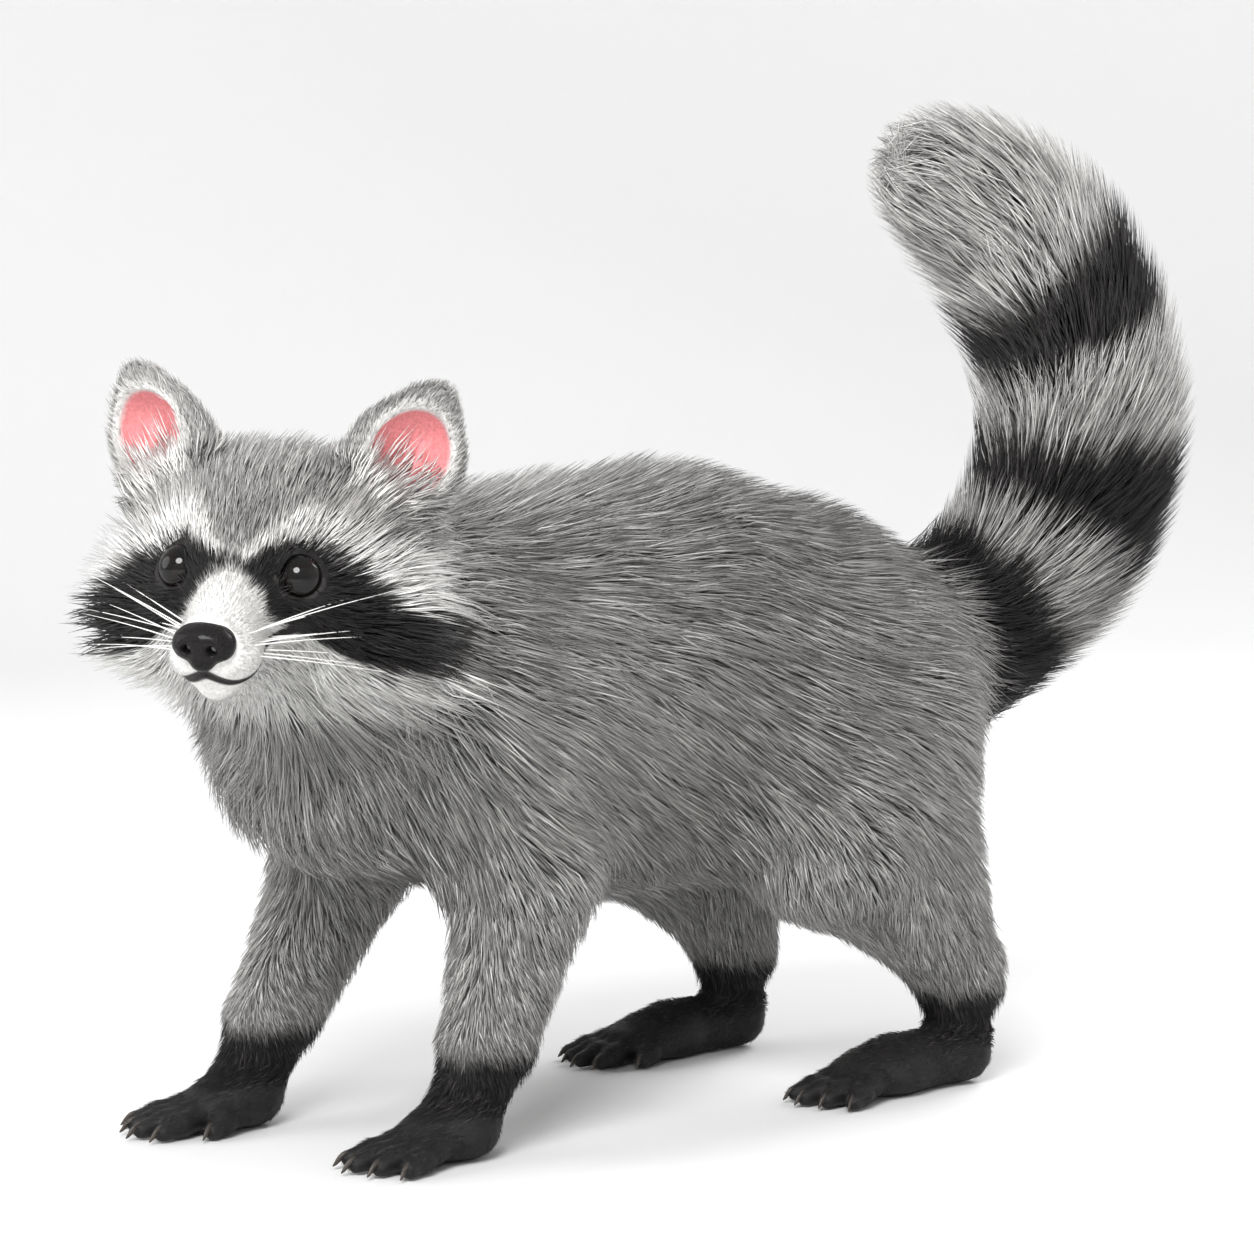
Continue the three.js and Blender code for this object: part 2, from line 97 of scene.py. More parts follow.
# The body's own frame has its zero on the floor between the paws, as the solids' maker set it.
SKULL_PLACE = (46, -192, 240)
body_origin = skull_centre - np.array(SKULL_PLACE) * MM


def in_head(points):
    return (points - skull_centre) @ head_axes / (HEAD_SIZE * MM)


def from_head(points):
    return np.asarray(points) * HEAD_SIZE * MM @ head_axes.T + skull_centre


def in_body(points):
    return (points - body_origin) / MM


def dot(a, b):
    return np.einsum("ij,ij->i", a, b)


def lengths(vectors):
    return np.sqrt(dot(vectors, vectors))


def unit(vectors):
    return vectors / np.maximum(lengths(vectors), 1e-9)[:, None]


def limb(p, a, b, ra, rb):
    """The distance to a round-ended limb that tapers from radius ra at a to rb at b."""
    a, axis = np.array(a, float), np.subtract(b, a).astype(float)
    t = np.clip((p - a) @ axis / (axis @ axis), 0, 1)
    return lengths(p - a - t[:, None] * axis) - (ra + (rb - ra) * t)


def limbs(p, joints, girth):
    return [limb(p, *ends) for ends in zip(joints, joints[1:], girth, girth[1:])]


def egg(p, centre, radii):
    """The distance to an egg with the given half-axes."""
    q = p - np.array(centre, float)
    reach = lengths(q / np.array(radii))
    slope = lengths(q / np.array(radii) ** 2)
    return reach * (reach - 1) / np.maximum(slope, 1e-6)


def meet(a, b, k):
    """The lesser of two distances, with the crease between them filled over a width k."""
    h = np.maximum(k - np.abs(a - b), 0) / k
    return np.minimum(a, b) - h * h * k / 4


def blend(k, distances):
    total = distances[0]
    for distance in distances[1:]:
        total = meet(total, distance, k)
    return total


def hollowed(k, distance, hole):
    return -meet(-distance, hole, k)


def eased(x, low, high):
    """From 0 at low to 1 at high, with no corner at either."""
    t = np.clip((x - low) / (high - low), 0, 1)
    return t * t * (3 - 2 * t)


def band(x, low, high, edge):
    """1 between low and high and 0 outside, faded over the edge's width to each side of both."""
    return eased(x, low - edge, low + edge) * (1 - eased(x, high - edge, high + edge))


def smooth_line(points, steps):
    """Points along a smooth line through all the given ones."""
    knots = np.vstack([2 * points[0] - points[1], points, 2 * points[-1] - points[-2]])
    line = []
    for a, b, c, d in zip(knots, knots[1:], knots[2:], knots[3:]):
        for t in np.arange(steps) / steps:
            line.append(b + (c - a) * t / 2 + (2 * a - 5 * b + 4 * c - d) * t**2 / 2
                        + (3 * b - a - 3 * c + d) * t**3 / 2)
    return np.array(line + [points[-1]])


# The tail's middle line, from inside the rump to the middle of its round tip, and its flesh.
TAIL_POINTS = np.array([(0, 168, 186), (3, 224, 204), (10, 270, 244), (18, 286, 304), (20, 266, 355),
                        (16, 234, 392), (9, 198, 414)], float)
tail_line = smooth_line(TAIL_POINTS, 5)
tail_reach = np.concatenate([[0], np.cumsum(lengths(np.diff(tail_line, axis=0)))])
tail_girth = np.interp(tail_reach, [0, 60, 160, 230, tail_reach[-1]], [29, 26, 25, 23, 15])


def tail_field(p):
    return blend(6, limbs(p, tail_line, tail_girth))


# An ear is a tall cup, open to the front, that leans out from the top of the head.
EAR_HEIGHT = 52
EAR_ROOT = np.array([38, -14, 27])


def ear_axes(side):
    return LEFT_FORWARD_UP @ rotation(nose=6, roll=side * 25, turn=side * 18)


def in_ear(q, side):
    """From the head's frame to an ear's own: across, back and up from its root."""
    return (q - EAR_ROOT * (side, 1, 1)) @ ear_axes(side)


def ear_cup(r):
    return egg(r, (0, -10, EAR_HEIGHT * 0.47), (16, 14, EAR_HEIGHT * 0.36))


def ear_leaf(r):
    return blend(6, [egg(r, (0, 0, EAR_HEIGHT * 0.36), (22, 10.5, EAR_HEIGHT * 0.46)),
                     egg(r, (0, 1, EAR_HEIGHT * 0.65), (12.5, 6.5, EAR_HEIGHT * 0.32))])


def ear_field(q, side):
    r = in_ear(q, side)
    cup = hollowed(3.5, ear_leaf(r), ear_cup(r))
    fold = limb(r, (side * 9, -3, 8), (side * 4, 3, 26), 3.2, 1.6)
    return meet(cup, fold, 3)


def eye_at(side):
    return EYE_PLACE * (side, 1, 1)


def from_eye(q, side):
    return lengths(q - eye_at(side))


def gaze(side):
    way = np.array([side * 0.5, 0.86, 0.06])
    return way / np.linalg.norm(way)


def head_field(q):
    """The flesh of the head before its lids and lips, in the head's own frame."""
    skull = [egg(q, (0, -10, 8), (33, 42, 32)), egg(q, (0, 20, 8), (29, 26, 22)),
             limb(q, (0, 0, -22), (0, -35, -28), 24, 32)]
    muzzle = [limb(q, (0, 34, -6), (0, 69, -12.5), 19, 10.5),
              limb(q, (0, 30, 8), (0, 72, -7), 12, 6.5),
              limb(q, (0, 25, -24), (0, 62, -26.5), 14, 6.8)]
    for side in LEFT_AND_RIGHT:
        skull.append(egg(q, (side * 30, 0, -12), (22, 30, 25)))
        skull.append(limb(q, (side * 24, 30, -2), (side * 36, 0, -4), 9, 10))
        muzzle.append(egg(q, (side * 7.5, 63, -17.5), (8.5, 13, 8)))
    flesh = meet(blend(14, skull), blend(7, muzzle), 12)
    for side in LEFT_AND_RIGHT:
        flesh = meet(flesh, egg(q, (side * 32, -14, 21), (17, 16, 17)), 10)
        flesh = meet(flesh, ear_field(q, side), 7)
        hollow = limb(q, eye_at(side) + gaze(side) * 10.5, eye_at(side) + gaze(side) * 24, 7.5, 12)
        flesh = hollowed(5, flesh, hollow)
    return flesh


# Each paw has a sole and five toes that fan out from it. The innermost toe sits further back.
PAWS = {"front_left_paw": (55, -112, False), "front_right_paw": (-55, -148, False),
        "hind_left_paw": (65, 128, True), "hind_right_paw": (-65, 102, True)}
TOE_FAN = (-26, -12, 0, 12, 26)


def toe_line(x, y, hind, i):
    """A function from the distance along a toe and the height to a point, and the toe's length."""
    inner = i == 0
    length = (27 if hind else 30) * (0.66 if inner else 1 - abs(TOE_FAN[i]) / 130)
    turn = np.radians(TOE_FAN[i] * np.sign(x))
    knuckles = y - 28 if hind else y - 12
    root_y = knuckles - (np.cos(turn) - 0.8) * 22 + (8 if inner else 0)

    def along(distance, height):
        return np.array([x + np.sin(turn) * (26 + distance), root_y - np.cos(turn) * distance, height])

    return along, length


def paw_field(p, x, y, hind):
    if hind:
        palm = blend(8, [egg(p, (x, y - 16, 11), (18, 23, 11)),
                         limb(p, (x, y + 34, 14), (x, y - 6, 12), 12.5, 14),
                         limb(p, (x, y + 32, 15), (x, y + 32, 52), 12, 14.5)])
    else:
        palm = blend(8, [egg(p, (x, y - 2, 11.5), (18, 21, 11.5)),
                         limb(p, (x, y + 4, 14), (x, y + 15, 42), 13.5, 16)])
    toes = []
    for i in range(len(TOE_FAN)):
        along, length = toe_line(x, y, hind, i)
        joints = [along(*place) for place in
                  ((-14, 11), (0.2 * length, 8.2), (0.62 * length, 6.2), (length, 4.2))]
        toes.append(blend(2.5, limbs(p, joints, [5.0, 5.3, 4.9, 3.6])))
    sole = 0.2 - p[:, 2]
    return np.maximum(meet(palm, blend(1.6, toes), 5), sole)


def grid_points(low, size, cell):
    steps = [(np.arange(n) + start) * cell * MM for n, start in zip(size, low)]
    return np.stack(np.meshgrid(*steps, indexing="ij"), -1).reshape(-1, 3)


def net(values, low, cell, level=0.0):
    """The surface where a grid of values has a level: points and quads about one cell wide."""
    grid = vdb.FloatGrid()
    grid.background = float(values.max())
    grid.transform = vdb.createLinearTransform(cell * MM)
    grid.copyFromArray(values.astype(np.float32), ijk=tuple(int(i) for i in low))
    points, _, quads = grid.convertToPolygons(level, 0.0)
    return points, quads


def distances(points, triangles, quads, inside):
    """The distances in mm from the grid to a closed surface, down to a depth in cells inside it."""
    grid = vdb.FloatGrid.createLevelSetFromPolygons(
        points, triangles=triangles, quads=quads, transform=vdb.createLinearTransform(CELL * MM),
        exBandWidth=4.0, inBandWidth=inside)
    values = np.zeros(grid_size, np.float32)
    grid.copyToArray(values, ijk=tuple(int(i) for i in grid_low))
    return values / MM


def read(items, name, width, kind=float):
    """One attribute of all the points, faces or corners of a mesh, in rows of the given width."""
    values = np.empty(len(items) * width, kind)
    items.foreach_get(name, values)
    return values.reshape(-1, width)


def solid_surface(name):
    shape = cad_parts[name].data
    shape.calc_loop_triangles()
    triangles = read(shape.loop_triangles, "vertices", 3, np.int32)
    return read(shape.vertices, "co", 3, np.float32), triangles.astype(np.uint32)


# The tips of the coat: the solids as one, with the thin gaps between them closed.
CELL = 3.2
SEAL = 0.5
grid_low = np.floor(np.array(solid_box[0]) / MM / CELL).astype(int) - 5
grid_size = np.ceil(np.array(solid_box[1]) / MM / CELL).astype(int) + 6 - grid_low
to_each = [distances(*solid_surface(name), None, 4.0) for name in FLESH]
together, nearest_node = np.min(to_each, axis=0), np.argmin(to_each, axis=0)
sealed_points, sealed_quads = net(together, grid_low, CELL, SEAL)
coat_tips = distances(sealed_points, None, sealed_quads, 28.0) - SEAL


def between_corners(place, share, value_at):
    """The value part of the way across each cell of a grid, from those at its eight corners."""
    total = 0
    for corner in np.ndindex(2, 2, 2):
        weight = np.prod(np.where(corner, share, 1 - share), axis=1)
        total = total + weight * value_at(*(place + corner).T)
    return total


def sampled(values, points):
    """The value of the grid at any points, between its eight nearest ones."""
    place = np.clip(points / (CELL * MM) - grid_low, 0, np.array(grid_size) - 1.001)
    corner = place.astype(int)
    return between_corners(corner, place - corner, lambda x, y, z: values[x, y, z])


DEPTH_BY_HEIGHT = ([0, 34, 60, 100, 140, 180], [1.5, 2.5, 5, 9, 16, 20])
FLESH_OF_ITS_OWN = 60  # as deep as this, the solids' depth leaves a part to its own field


def body_depth(points):
    """How far the skin lies below the tips of the coat on the neck, trunk and legs."""
    p, q = in_body(points), in_head(points)
    depth = np.interp(p[:, 2], *DEPTH_BY_HEIGHT)
    depth += FLESH_OF_ITS_OWN * eased(p[:, 1], 176, 202) * eased(p[:, 2], 110, 140)
    return depth + FLESH_OF_ITS_OWN * eased(q[:, 1], -48, -16) * eased(-p[:, 1], 130, 155)


def skin_field(points, below_tips=None):
    p, q = in_body(points), in_head(points)
    field = (sampled(coat_tips, points) if below_tips is None else below_tips) + body_depth(points)
    tail = p[:, 1] > 145
    field[tail] = meet(field[tail], tail_field(p[tail]), 14)
    head = (np.abs(q - HEAD_MIDDLE) < (100, 110, 110)).all(axis=1)
    field[head] = meet(field[head], head_field(q[head]) * HEAD_SIZE, 20)
    for x, y, hind in PAWS.values():
        paw = (np.abs(p - (x, y, 20)) < (45, 75, 52)).all(axis=1)
        shank = field[paw] + 20 * (1 - eased(p[paw][:, 2], 22, 44))
        field[paw] = meet(shank, paw_field(p[paw], x, y, hind), 6)
    return field


def eye_axes(side):
    """An eye's own axes: outward from the nose, up along the lids, and out along its gaze."""
    across = np.cross(gaze(side), (0, 0, 1)) * side
    across /= np.linalg.norm(across)
    up = np.cross(across, gaze(side)) * side
    tilt = np.radians(9)  # the outer corner is the higher
    return np.array([across * np.cos(tilt) + up * np.sin(tilt),
                     up * np.cos(tilt) - across * np.sin(tilt), gaze(side)])


LID_HALF_WIDTH, UPPER_LID_HEIGHT, LOWER_LID_HEIGHT = 7.8, 6.7, 5.9
LID_THICKNESS = 1.7
LID_REACH = 16  # nothing farther from the middle of an eye belongs to its lids


def eye_opening(q, side):
    """The distance to the edge of the lids, seen along the gaze: negative between them."""
    x, y, ahead = ((q - eye_at(side)) @ eye_axes(side).T).T
    arcs = []
    for height, way in ((UPPER_LID_HEIGHT, 1), (LOWER_LID_HEIGHT, -1)):
        radius = (LID_HALF_WIDTH**2 + height**2) / (2 * height)
        arcs.append(np.hypot(x, y - way * (height - radius)) - radius)
    return np.where(ahead > 0, np.maximum(*arcs), 20)


def drawn_onto(field, points, rounds):
    """Points moved to where the field is zero, in steps that are never long."""
    step, most = 0.3, 1.2
    for _ in range(rounds):
        ways = [field(points + axis) - field(points - axis) for axis in np.eye(3) * step * MM]
        way = np.stack(ways, -1) / (2 * step)
        move = -field(points) / np.maximum(dot(way, way), 0.3)
        points = points + np.clip(move, -most, most)[:, None] * way * MM
    return points


# The closed lips: from below the nose back along each side to a raised corner.
LIP_GUIDE = np.array([(0, 76, -21), (5, 73.5, -23.8), (11.5, 66, -23.2), (17, 56, -19), (20, 47, -15),
                      (22, 40, -10)], float)
lips = [in_head(drawn_onto(skin_field, from_head(smooth_line(LIP_GUIDE, 6) * (side, 1, 1)), 12))
        for side in LEFT_AND_RIGHT]


def lip_distance(q):
    pieces = [limb(q, a, b, 0, 0) for line in lips for a, b in zip(line, line[1:])]
    return np.min(pieces, axis=0)


def fine_field(points):
    """The skin with its lids and lips as well."""
    field, q = skin_field(points), in_head(points)
    face = (q[:, 1] > 10) & (lengths(q - FACE_MIDDLE) < 70)
    q, fine = q[face], field[face]
    for side in LEFT_AND_RIGHT:
        fine = meet(fine, from_eye(q, side) - (EYE_RADIUS + LID_THICKNESS), 2.5)
        socket = np.maximum(eye_opening(q, side), EYE_RADIUS - 0.6 - from_eye(q, side))
        fine = hollowed(0.7, fine, socket)
    parting = limb(q, (0, 84, -16), (0, 75, -22), 0.5, 0.5)
    field[face] = hollowed(1.2, hollowed(1.6, fine, lip_distance(q) - 0.8), parting)
    return field


def cut_finer(mesh, near):
    """Each face in the given places is cut in four."""
    chosen = np.nonzero(near(read(mesh.polygons, "center", 3)))[0]
    shape = bmesh.new()
    shape.from_mesh(mesh)
    shape.faces.ensure_lookup_table()
    edges = list(dict.fromkeys(edge for i in chosen for edge in shape.faces[i].edges))
    bmesh.ops.subdivide_edges(shape, edges=edges, cuts=1, use_grid_fill=True)
    shape.to_mesh(mesh)
    shape.free()


def settle(mesh, near, field, rounds):
    points = read(mesh.vertices, "co", 3)
    chosen = near(points)
    points[chosen] = drawn_onto(field, points[chosen], rounds)
    mesh.vertices.foreach_set("co", points.ravel())
    mesh.update()


def near_face_or_ears(points):
    q = in_head(points)
    face = (q[:, 1] > 14) & (lengths(q - FACE_MIDDLE) < 58)
    ears = np.minimum(ear_field(q, 1), ear_field(q, -1)) < 4
    return face | ears


def near_toes(points):
    p = in_body(points)
    toes = np.zeros(len(p), bool)
    for x, y, hind in PAWS.values():
        toes |= (np.abs(p[:, 0] - x) < 40) & (p[:, 1] < y - (22 if hind else 8)) & (p[:, 1] > y - 80)
    return toes & (p[:, 2] < 26)


def near_fine_parts(points):
    return near_face_or_ears(points) | near_toes(points)


def near_eyes_or_lips(points):
    q = in_head(points)
    eyes = np.minimum(from_eye(q, 1), from_eye(q, -1))
    return (q[:, 1] > 20) & ((eyes < 14) | (lip_distance(q) < 4) | (q[:, 1] > 66))


def put(name, data):
    """A new object in the scene."""
    thing = bpy.data.objects.new(name, data)
    bpy.context.scene.collection.objects.link(thing)
    return thing


def placed(mesh, material, slot_name):
    """A smooth-shaded mesh as a piece of the animal, which moves with it."""
    mesh.polygons.foreach_set("use_smooth", np.ones(len(mesh.polygons), bool))
    mesh.materials.append(material)
    piece = put(mesh.name, mesh)
    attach(piece, "root")
    return piece


def new_piece(name, points, faces, material, slot_name):
    mesh = bpy.data.meshes.new(name)
    mesh.from_pydata(np.asarray(points).tolist(), [], [[int(i) for i in face] for face in faces])
    return placed(mesh, material, slot_name)


def feed(node, *in_order, **by_name):
    """Sets a shader node's inputs to values, or links them to the outputs of other nodes."""
    sockets = list(zip(node.inputs, in_order))
    sockets += [(node.inputs[name.replace("_", " ")], value) for name, value in by_name.items()]
    for socket, value in sockets:
        if isinstance(value, bpy.types.NodeSocket):
            node.id_data.links.new(value, socket)
        else:
            socket.default_value = value


def added(tree, kind, *in_order, **by_name):
    node = tree.nodes.new("ShaderNode" + kind)
    feed(node, *in_order, **by_name)
    return node


def new_material(name, **values):
    """A material with the given values on its shader, and the shader and its tree of nodes."""
    material = bpy.data.materials.new(name)
    material.use_nodes = True
    shader = material.node_tree.nodes["Principled BSDF"]
    feed(shader, **values)
    return material, shader, material.node_tree


def hair_grain_group():
    """Fine uneven tone and relief, as of many short hairs: a colour, a roughness and a height."""
    tree = bpy.data.node_groups.new("hair grain", "ShaderNodeTree")
    for way, names in (("INPUT", ("Colour", "Size", "Strength")),
                       ("OUTPUT", ("Colour", "Roughness", "Height"))):
        for name in names:
            kind = "NodeSocketColor" if name == "Colour" else "NodeSocketFloat"
            tree.interface.new_socket(name, in_out=way, socket_type=kind)
    given, result = tree.nodes.new("NodeGroupInput").outputs, tree.nodes.new("NodeGroupOutput")
    place = added(tree, "NewGeometry").outputs["Position"]
    noise = added(tree, "TexNoise", Vector=place, Scale=given["Size"], Detail=4, Roughness=0.7)
    height = noise.outputs["Fac"]
    tone = added(tree, "MapRange", Value=height, From_Min=0.3, From_Max=0.7, To_Min=0.72, To_Max=1.28)
    rough = added(tree, "MapRange", Value=height, To_Min=0.42, To_Max=0.72)
    shade = added(tree, "Mix")
    shade.data_type, shade.blend_type = "RGBA", "MULTIPLY"
    feed(shade, Factor=given["Strength"], A=given["Colour"], B=tone.outputs["Result"])
    feed(result, Colour=shade.outputs["Result"], Roughness=rough.outputs["Result"], Height=height)
    return tree


hair_grain = hair_grain_group()


def grained(name, size, strength, bump=0, colour=None, **values):
    """A material with the grain of fine hair over one colour, or over the mesh's own markings."""
    material, shader, tree = new_material(name, Specular_IOR_Level=0.3, **values)
    grain = added(tree, "Group")
    grain.node_tree = hair_grain
    if colour is None:
        marks = added(tree, "VertexColor")
        marks.layer_name = "markings"
        colour = marks.outputs["Color"]
    feed(grain, Colour=colour, Size=size, Strength=strength)
    feed(shader, Base_Color=grain.outputs["Colour"], Roughness=grain.outputs["Roughness"])
    if bump:
        relief = added(tree, "Bump", Strength=bump, Distance=0.6 * MM, Height=grain.outputs["Height"])
        feed(shader, Normal=relief.outputs["Normal"])
    return material


everywhere = grid_points(grid_low, grid_size, CELL)
skin_values = skin_field(everywhere, coat_tips.ravel().copy()).reshape(grid_size)
hide = grained("hide", 700, 0.8, bump=0.5)
skin = new_piece("skin", *net(skin_values, grid_low, CELL), hide, "coat")
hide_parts(*FLESH)
cut_finer(skin.data, near_fine_parts)
settle(skin.data, near_fine_parts, skin_field, 2)
cut_finer(skin.data, near_eyes_or_lips)
settle(skin.data, near_face_or_ears, fine_field, 5)

bpy.context.view_layer.objects.active = skin
skin.select_set(True)
bpy.ops.object.mode_set(mode="EDIT")
bpy.ops.mesh.select_all(action="SELECT")
bpy.ops.uv.smart_project(angle_limit=np.radians(66), island_margin=0.002)
bpy.ops.object.mode_set(mode="OBJECT")
skin.data.uv_layers[0].name = "OFBake"

# ---------------- the markings
# The colours of skin and coat alike: grey, with a black mask over the eyes, a white brow above it and
# a white muzzle below, pink inside the ears, four black paws and three black rings on the tail.
GREY = np.array([0.36, 0.352, 0.344])
WHITE = np.array([0.79, 0.78, 0.76])
BLACK = np.array([0.012, 0.011, 0.011])
PINK = np.array([0.66, 0.22, 0.23])
LIP_BLACK = np.array([0.011, 0.008, 0.008])
# Heights on the face against the distance from its middle: the mask's edges and the brow's depth.
MASK_TOP = ([0, 6, 12, 21, 32, 45, 60, 75, 88], [17, 17, 21, 24, 21, 12, 0, -14, -26])
MASK_FOOT = ([0, 6, 12, 21, 32, 45, 55, 70, 88], [11.5, 8.5, 0, -11, -19, -27, -31, -34, -37])
BROW_DEPTH = ([0, 4, 12, 21, 45, 60, 88], [1, 3, 7.5, 10, 14, 16, 16])
RING_ENDS = [45, 84, 124, 176, 227, 273]  # along the tail's middle line: black starts, ends, starts...
PAW_TOP = (36, 46)  # the heights between which black turns to grey
MASK_EDGE, RING_EDGE = 1.5, 3  # half the width over which each edge fades


def uneven(points, size, seed):
    """Smooth noise from -1 to 1 that changes over about the given size in millimetres."""
    def shuffled(x, y, z):
        mixed = (x * 73856093) ^ (y * 19349663) ^ (z * 83492791) ^ (seed * 2654435761)
        mixed = (mixed ^ (mixed >> 13)) * 1274126177
        return (mixed ^ (mixed >> 16)) & 0xFFFF

    place = points / (size * MM) + seed * 17.3
    corner = np.floor(place).astype(np.int64)
    return between_corners(corner, eased(place - corner, 0, 1), shuffled) / 32767.5 - 1


def along_tail(p):
    """How far along the tail's middle line each point is, in millimetres."""
    nearest, reach = np.full(len(p), 1e9), np.zeros(len(p))
    for a, b, start in zip(tail_line, tail_line[1:], tail_reach):
        axis = b - a
        t = (p - a) @ axis / (axis @ axis)
        distance = lengths(p - a - np.clip(t, 0, 1)[:, None] * axis)
        t = np.clip(t, 0, 1 if start < tail_reach[-2] else 9)
        nearer = distance < nearest
        nearest = np.where(nearer, distance, nearest)
        reach = np.where(nearer, start + t * np.linalg.norm(axis), reach)
    return reach


def painted(colour, over, share):
    share = np.asarray(share)[:, None]
    return colour * (1 - share) + over * share


def ear_front(q, side):
    """How much each point belongs to the pale front of an ear."""
    r = in_ear(q, side)
    return (1 - eased(ear_cup(r), 1.0, 4.5)) * (r[:, 1] < 5) * (r[:, 1] > -14) * (r[:, 2] > 3)


def ear_inside(q, side):
    """How much each point belongs to the bare inside of an ear, away from its rim."""
    r = in_ear(q, side)
    in_cup = (1 - eased(ear_cup(r), 0.8, 2.2)) * (r[:, 1] < 9) * (r[:, 1] > -14)
    return in_cup * eased(-ear_leaf(r), 2.0, 4.5) * eased(r[:, 2], 2, 9)


def markings(points):
    p, q = in_body(points), in_head(points)
    wander = 2.0 * uneven(points, 9, 3) + uneven(points, 3.5, 4)
    aside, ahead, up = np.abs(q[:, 0]), q[:, 1], q[:, 2]

    front = eased(ahead + wander, -28, -20) * (lengths(q - HEAD_MIDDLE) < 110)
    top = np.interp(aside, *MASK_TOP) + wander
    foot = np.interp(aside, *MASK_FOOT) + wander
    brow = top + np.interp(aside, *BROW_DEPTH)
    throat = eased(up + 0.2 * ahead + 2 * wander, -62, -50)
    pale = front * (1 - eased(up, brow - 2, brow + 3)) * np.where(up < foot, throat, 1)
    mask = front * band(up, foot, top, MASK_EDGE) * (1 - eased(ahead + wander, 50, 54))
    smile = 1 - eased(lip_distance(q), 2.0, 3.2)

    paws = 1 - eased(p[:, 2] + wander, *PAW_TOP)
    rings = np.zeros(len(p))
    tail = (p[:, 1] > 165) & (p[:, 2] > 130)
    reach = along_tail(p[tail]) + 1.5 * wander[tail]
    for start, end in zip(RING_ENDS[::2], RING_ENDS[1::2]):
        rings[tail] = np.maximum(rings[tail], band(reach, start, end, RING_EDGE))

    colour = painted(np.tile(GREY, (len(p), 1)), WHITE, pale)
    colour = painted(colour, BLACK, np.max([mask, paws, rings, smile * (ahead > 30)], axis=0))
    rim = np.max([ear_front(q, side) for side in LEFT_AND_RIGHT], axis=0)
    return painted(colour, WHITE * 0.85, rim)


def paint(mesh, colours):
    """Sets the colour of each corner point of a mesh."""
    layer = mesh.color_attributes.new("markings", "FLOAT_COLOR", "POINT")
    opaque = np.ones((len(colours), 4), np.float32)
    opaque[:, :3] = colours
    layer.data.foreach_set("color", opaque.ravel())


skin_at = read(skin.data.vertices, "co", 3)
skin_colours = markings(skin_at) * 0.85
skin_q = in_head(skin_at)
skin_colours = painted(skin_colours, LIP_BLACK, 1 - eased(lip_distance(skin_q), 1.0, 1.9))
for side in LEFT_AND_RIGHT:
    skin_colours = painted(skin_colours, PINK, ear_inside(skin_q, side))
    lids = (1 - eased(eye_opening(skin_q, side), 1.5, 3.0)) * (from_eye(skin_q, side) < LID_REACH)
    skin_colours = painted(skin_colours, LIP_BLACK, lids)
paint(skin.data, skin_colours)

# ---------------- the eyes
# Two dark eyeballs behind the lids, near black like a raccoon's, with a clear wet cornea. Each is a
# closed ball whose rings run round the line of its gaze.
EYE_RINGS, EYE_SPOKES = 24, 40
CORNEA = 1.05  # how much farther the front stands out than the rest of the ball


def round_body(rings):
    """Faces that join rings of points, all of one count, into a closed body with its ends filled."""
    count = len(rings[0])
    faces = [tuple(range(count))[::-1]]
    for ring in range(len(rings) - 1):
        low, high = ring * count, (ring + 1) * count
        for i in range(count):
            beside = (i + 1) % count
            faces.append((low + i, low + beside, high + beside, high + i))
    return faces + [tuple(range((len(rings) - 1) * count, len(rings) * count))]


def ball(side):
    """The points of an eyeball as rings round its gaze, from behind to in front, and their angles."""
    angles = np.pi - np.linspace(0.02, np.pi - 0.02, EYE_RINGS)
    turns = np.arange(EYE_SPOKES) * 2 * np.pi / EYE_SPOKES
    ring = np.array([np.cos(turns), np.sin(turns), 0 * turns]).T
    rings = [ring * np.sin(a) + (0, 0, np.cos(a) * (CORNEA if np.cos(a) > 0 else 1)) for a in angles]
    return np.array(rings) @ (eye_axes(side) * [[side], [1], [1]]) * EYE_RADIUS + eye_at(side), angles


def ramp(tree, value, stops):
    """The colour at a value between the given stops, each of which is a place and a colour."""
    node = added(tree, "ValToRGB", value)
    tones = node.color_ramp.elements
    tones.remove(tones[1])
    tones[0].position, tones[0].color = stops[0]
    for place, colour in stops[1:]:
        tones.new(place).color = colour
    return node.outputs["Color"]


eye_shine, shader, tree = new_material(
    "eye", Roughness=0.3, Specular_IOR_Level=0.0, Coat_Weight=0.65, Coat_Roughness=0.015)
off_gaze = added(tree, "Attribute")
off_gaze.attribute_name = "off_gaze"
place = added(tree, "NewGeometry")
fibres = added(tree, "TexNoise", Vector=place.outputs["Position"], Scale=900)
frayed = added(tree, "Math", fibres.outputs["Fac"], 0.12, off_gaze.outputs["Fac"])
frayed.operation = "MULTIPLY_ADD"
# From the pupil out, over the narrow brown iris, to the dark rim.
iris = ramp(tree, frayed.outputs["Value"], (
    (0.30, (0.0015, 0.0013, 0.0013, 1)), (0.36, (0.004, 0.0024, 0.0018, 1)),
    (0.60, (0.003, 0.002, 0.0015, 1)), (0.68, (0.0015, 0.0015, 0.0015, 1))))
feed(shader, Base_Color=iris)

for side, name in ((1, "eye_left"), (-1, "eye_right")):
    rings, angles = ball(side)
    points = from_head(rings.reshape(-1, 3))
    eyeball = new_piece(name + "_ball", points, round_body(rings), eye_shine, "eye")
    layer = eyeball.data.attributes.new("off_gaze", "FLOAT", "POINT")
    layer.data.foreach_set("value", np.repeat(angles / np.pi * 2, EYE_SPOKES).astype(np.float32))
    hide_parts(name)

# ---------------- the nose
# The bare leathery pad at the end of the muzzle, part of the upper lip's skin, with its two nostrils,
# their slits at the side and the groove down to the lip.
NOSE_CELL = 0.7
NOSE_BOX = 36  # the side of the cube that it is shaped in
NOSE_MIDDLE = np.array([0, 78, -11])


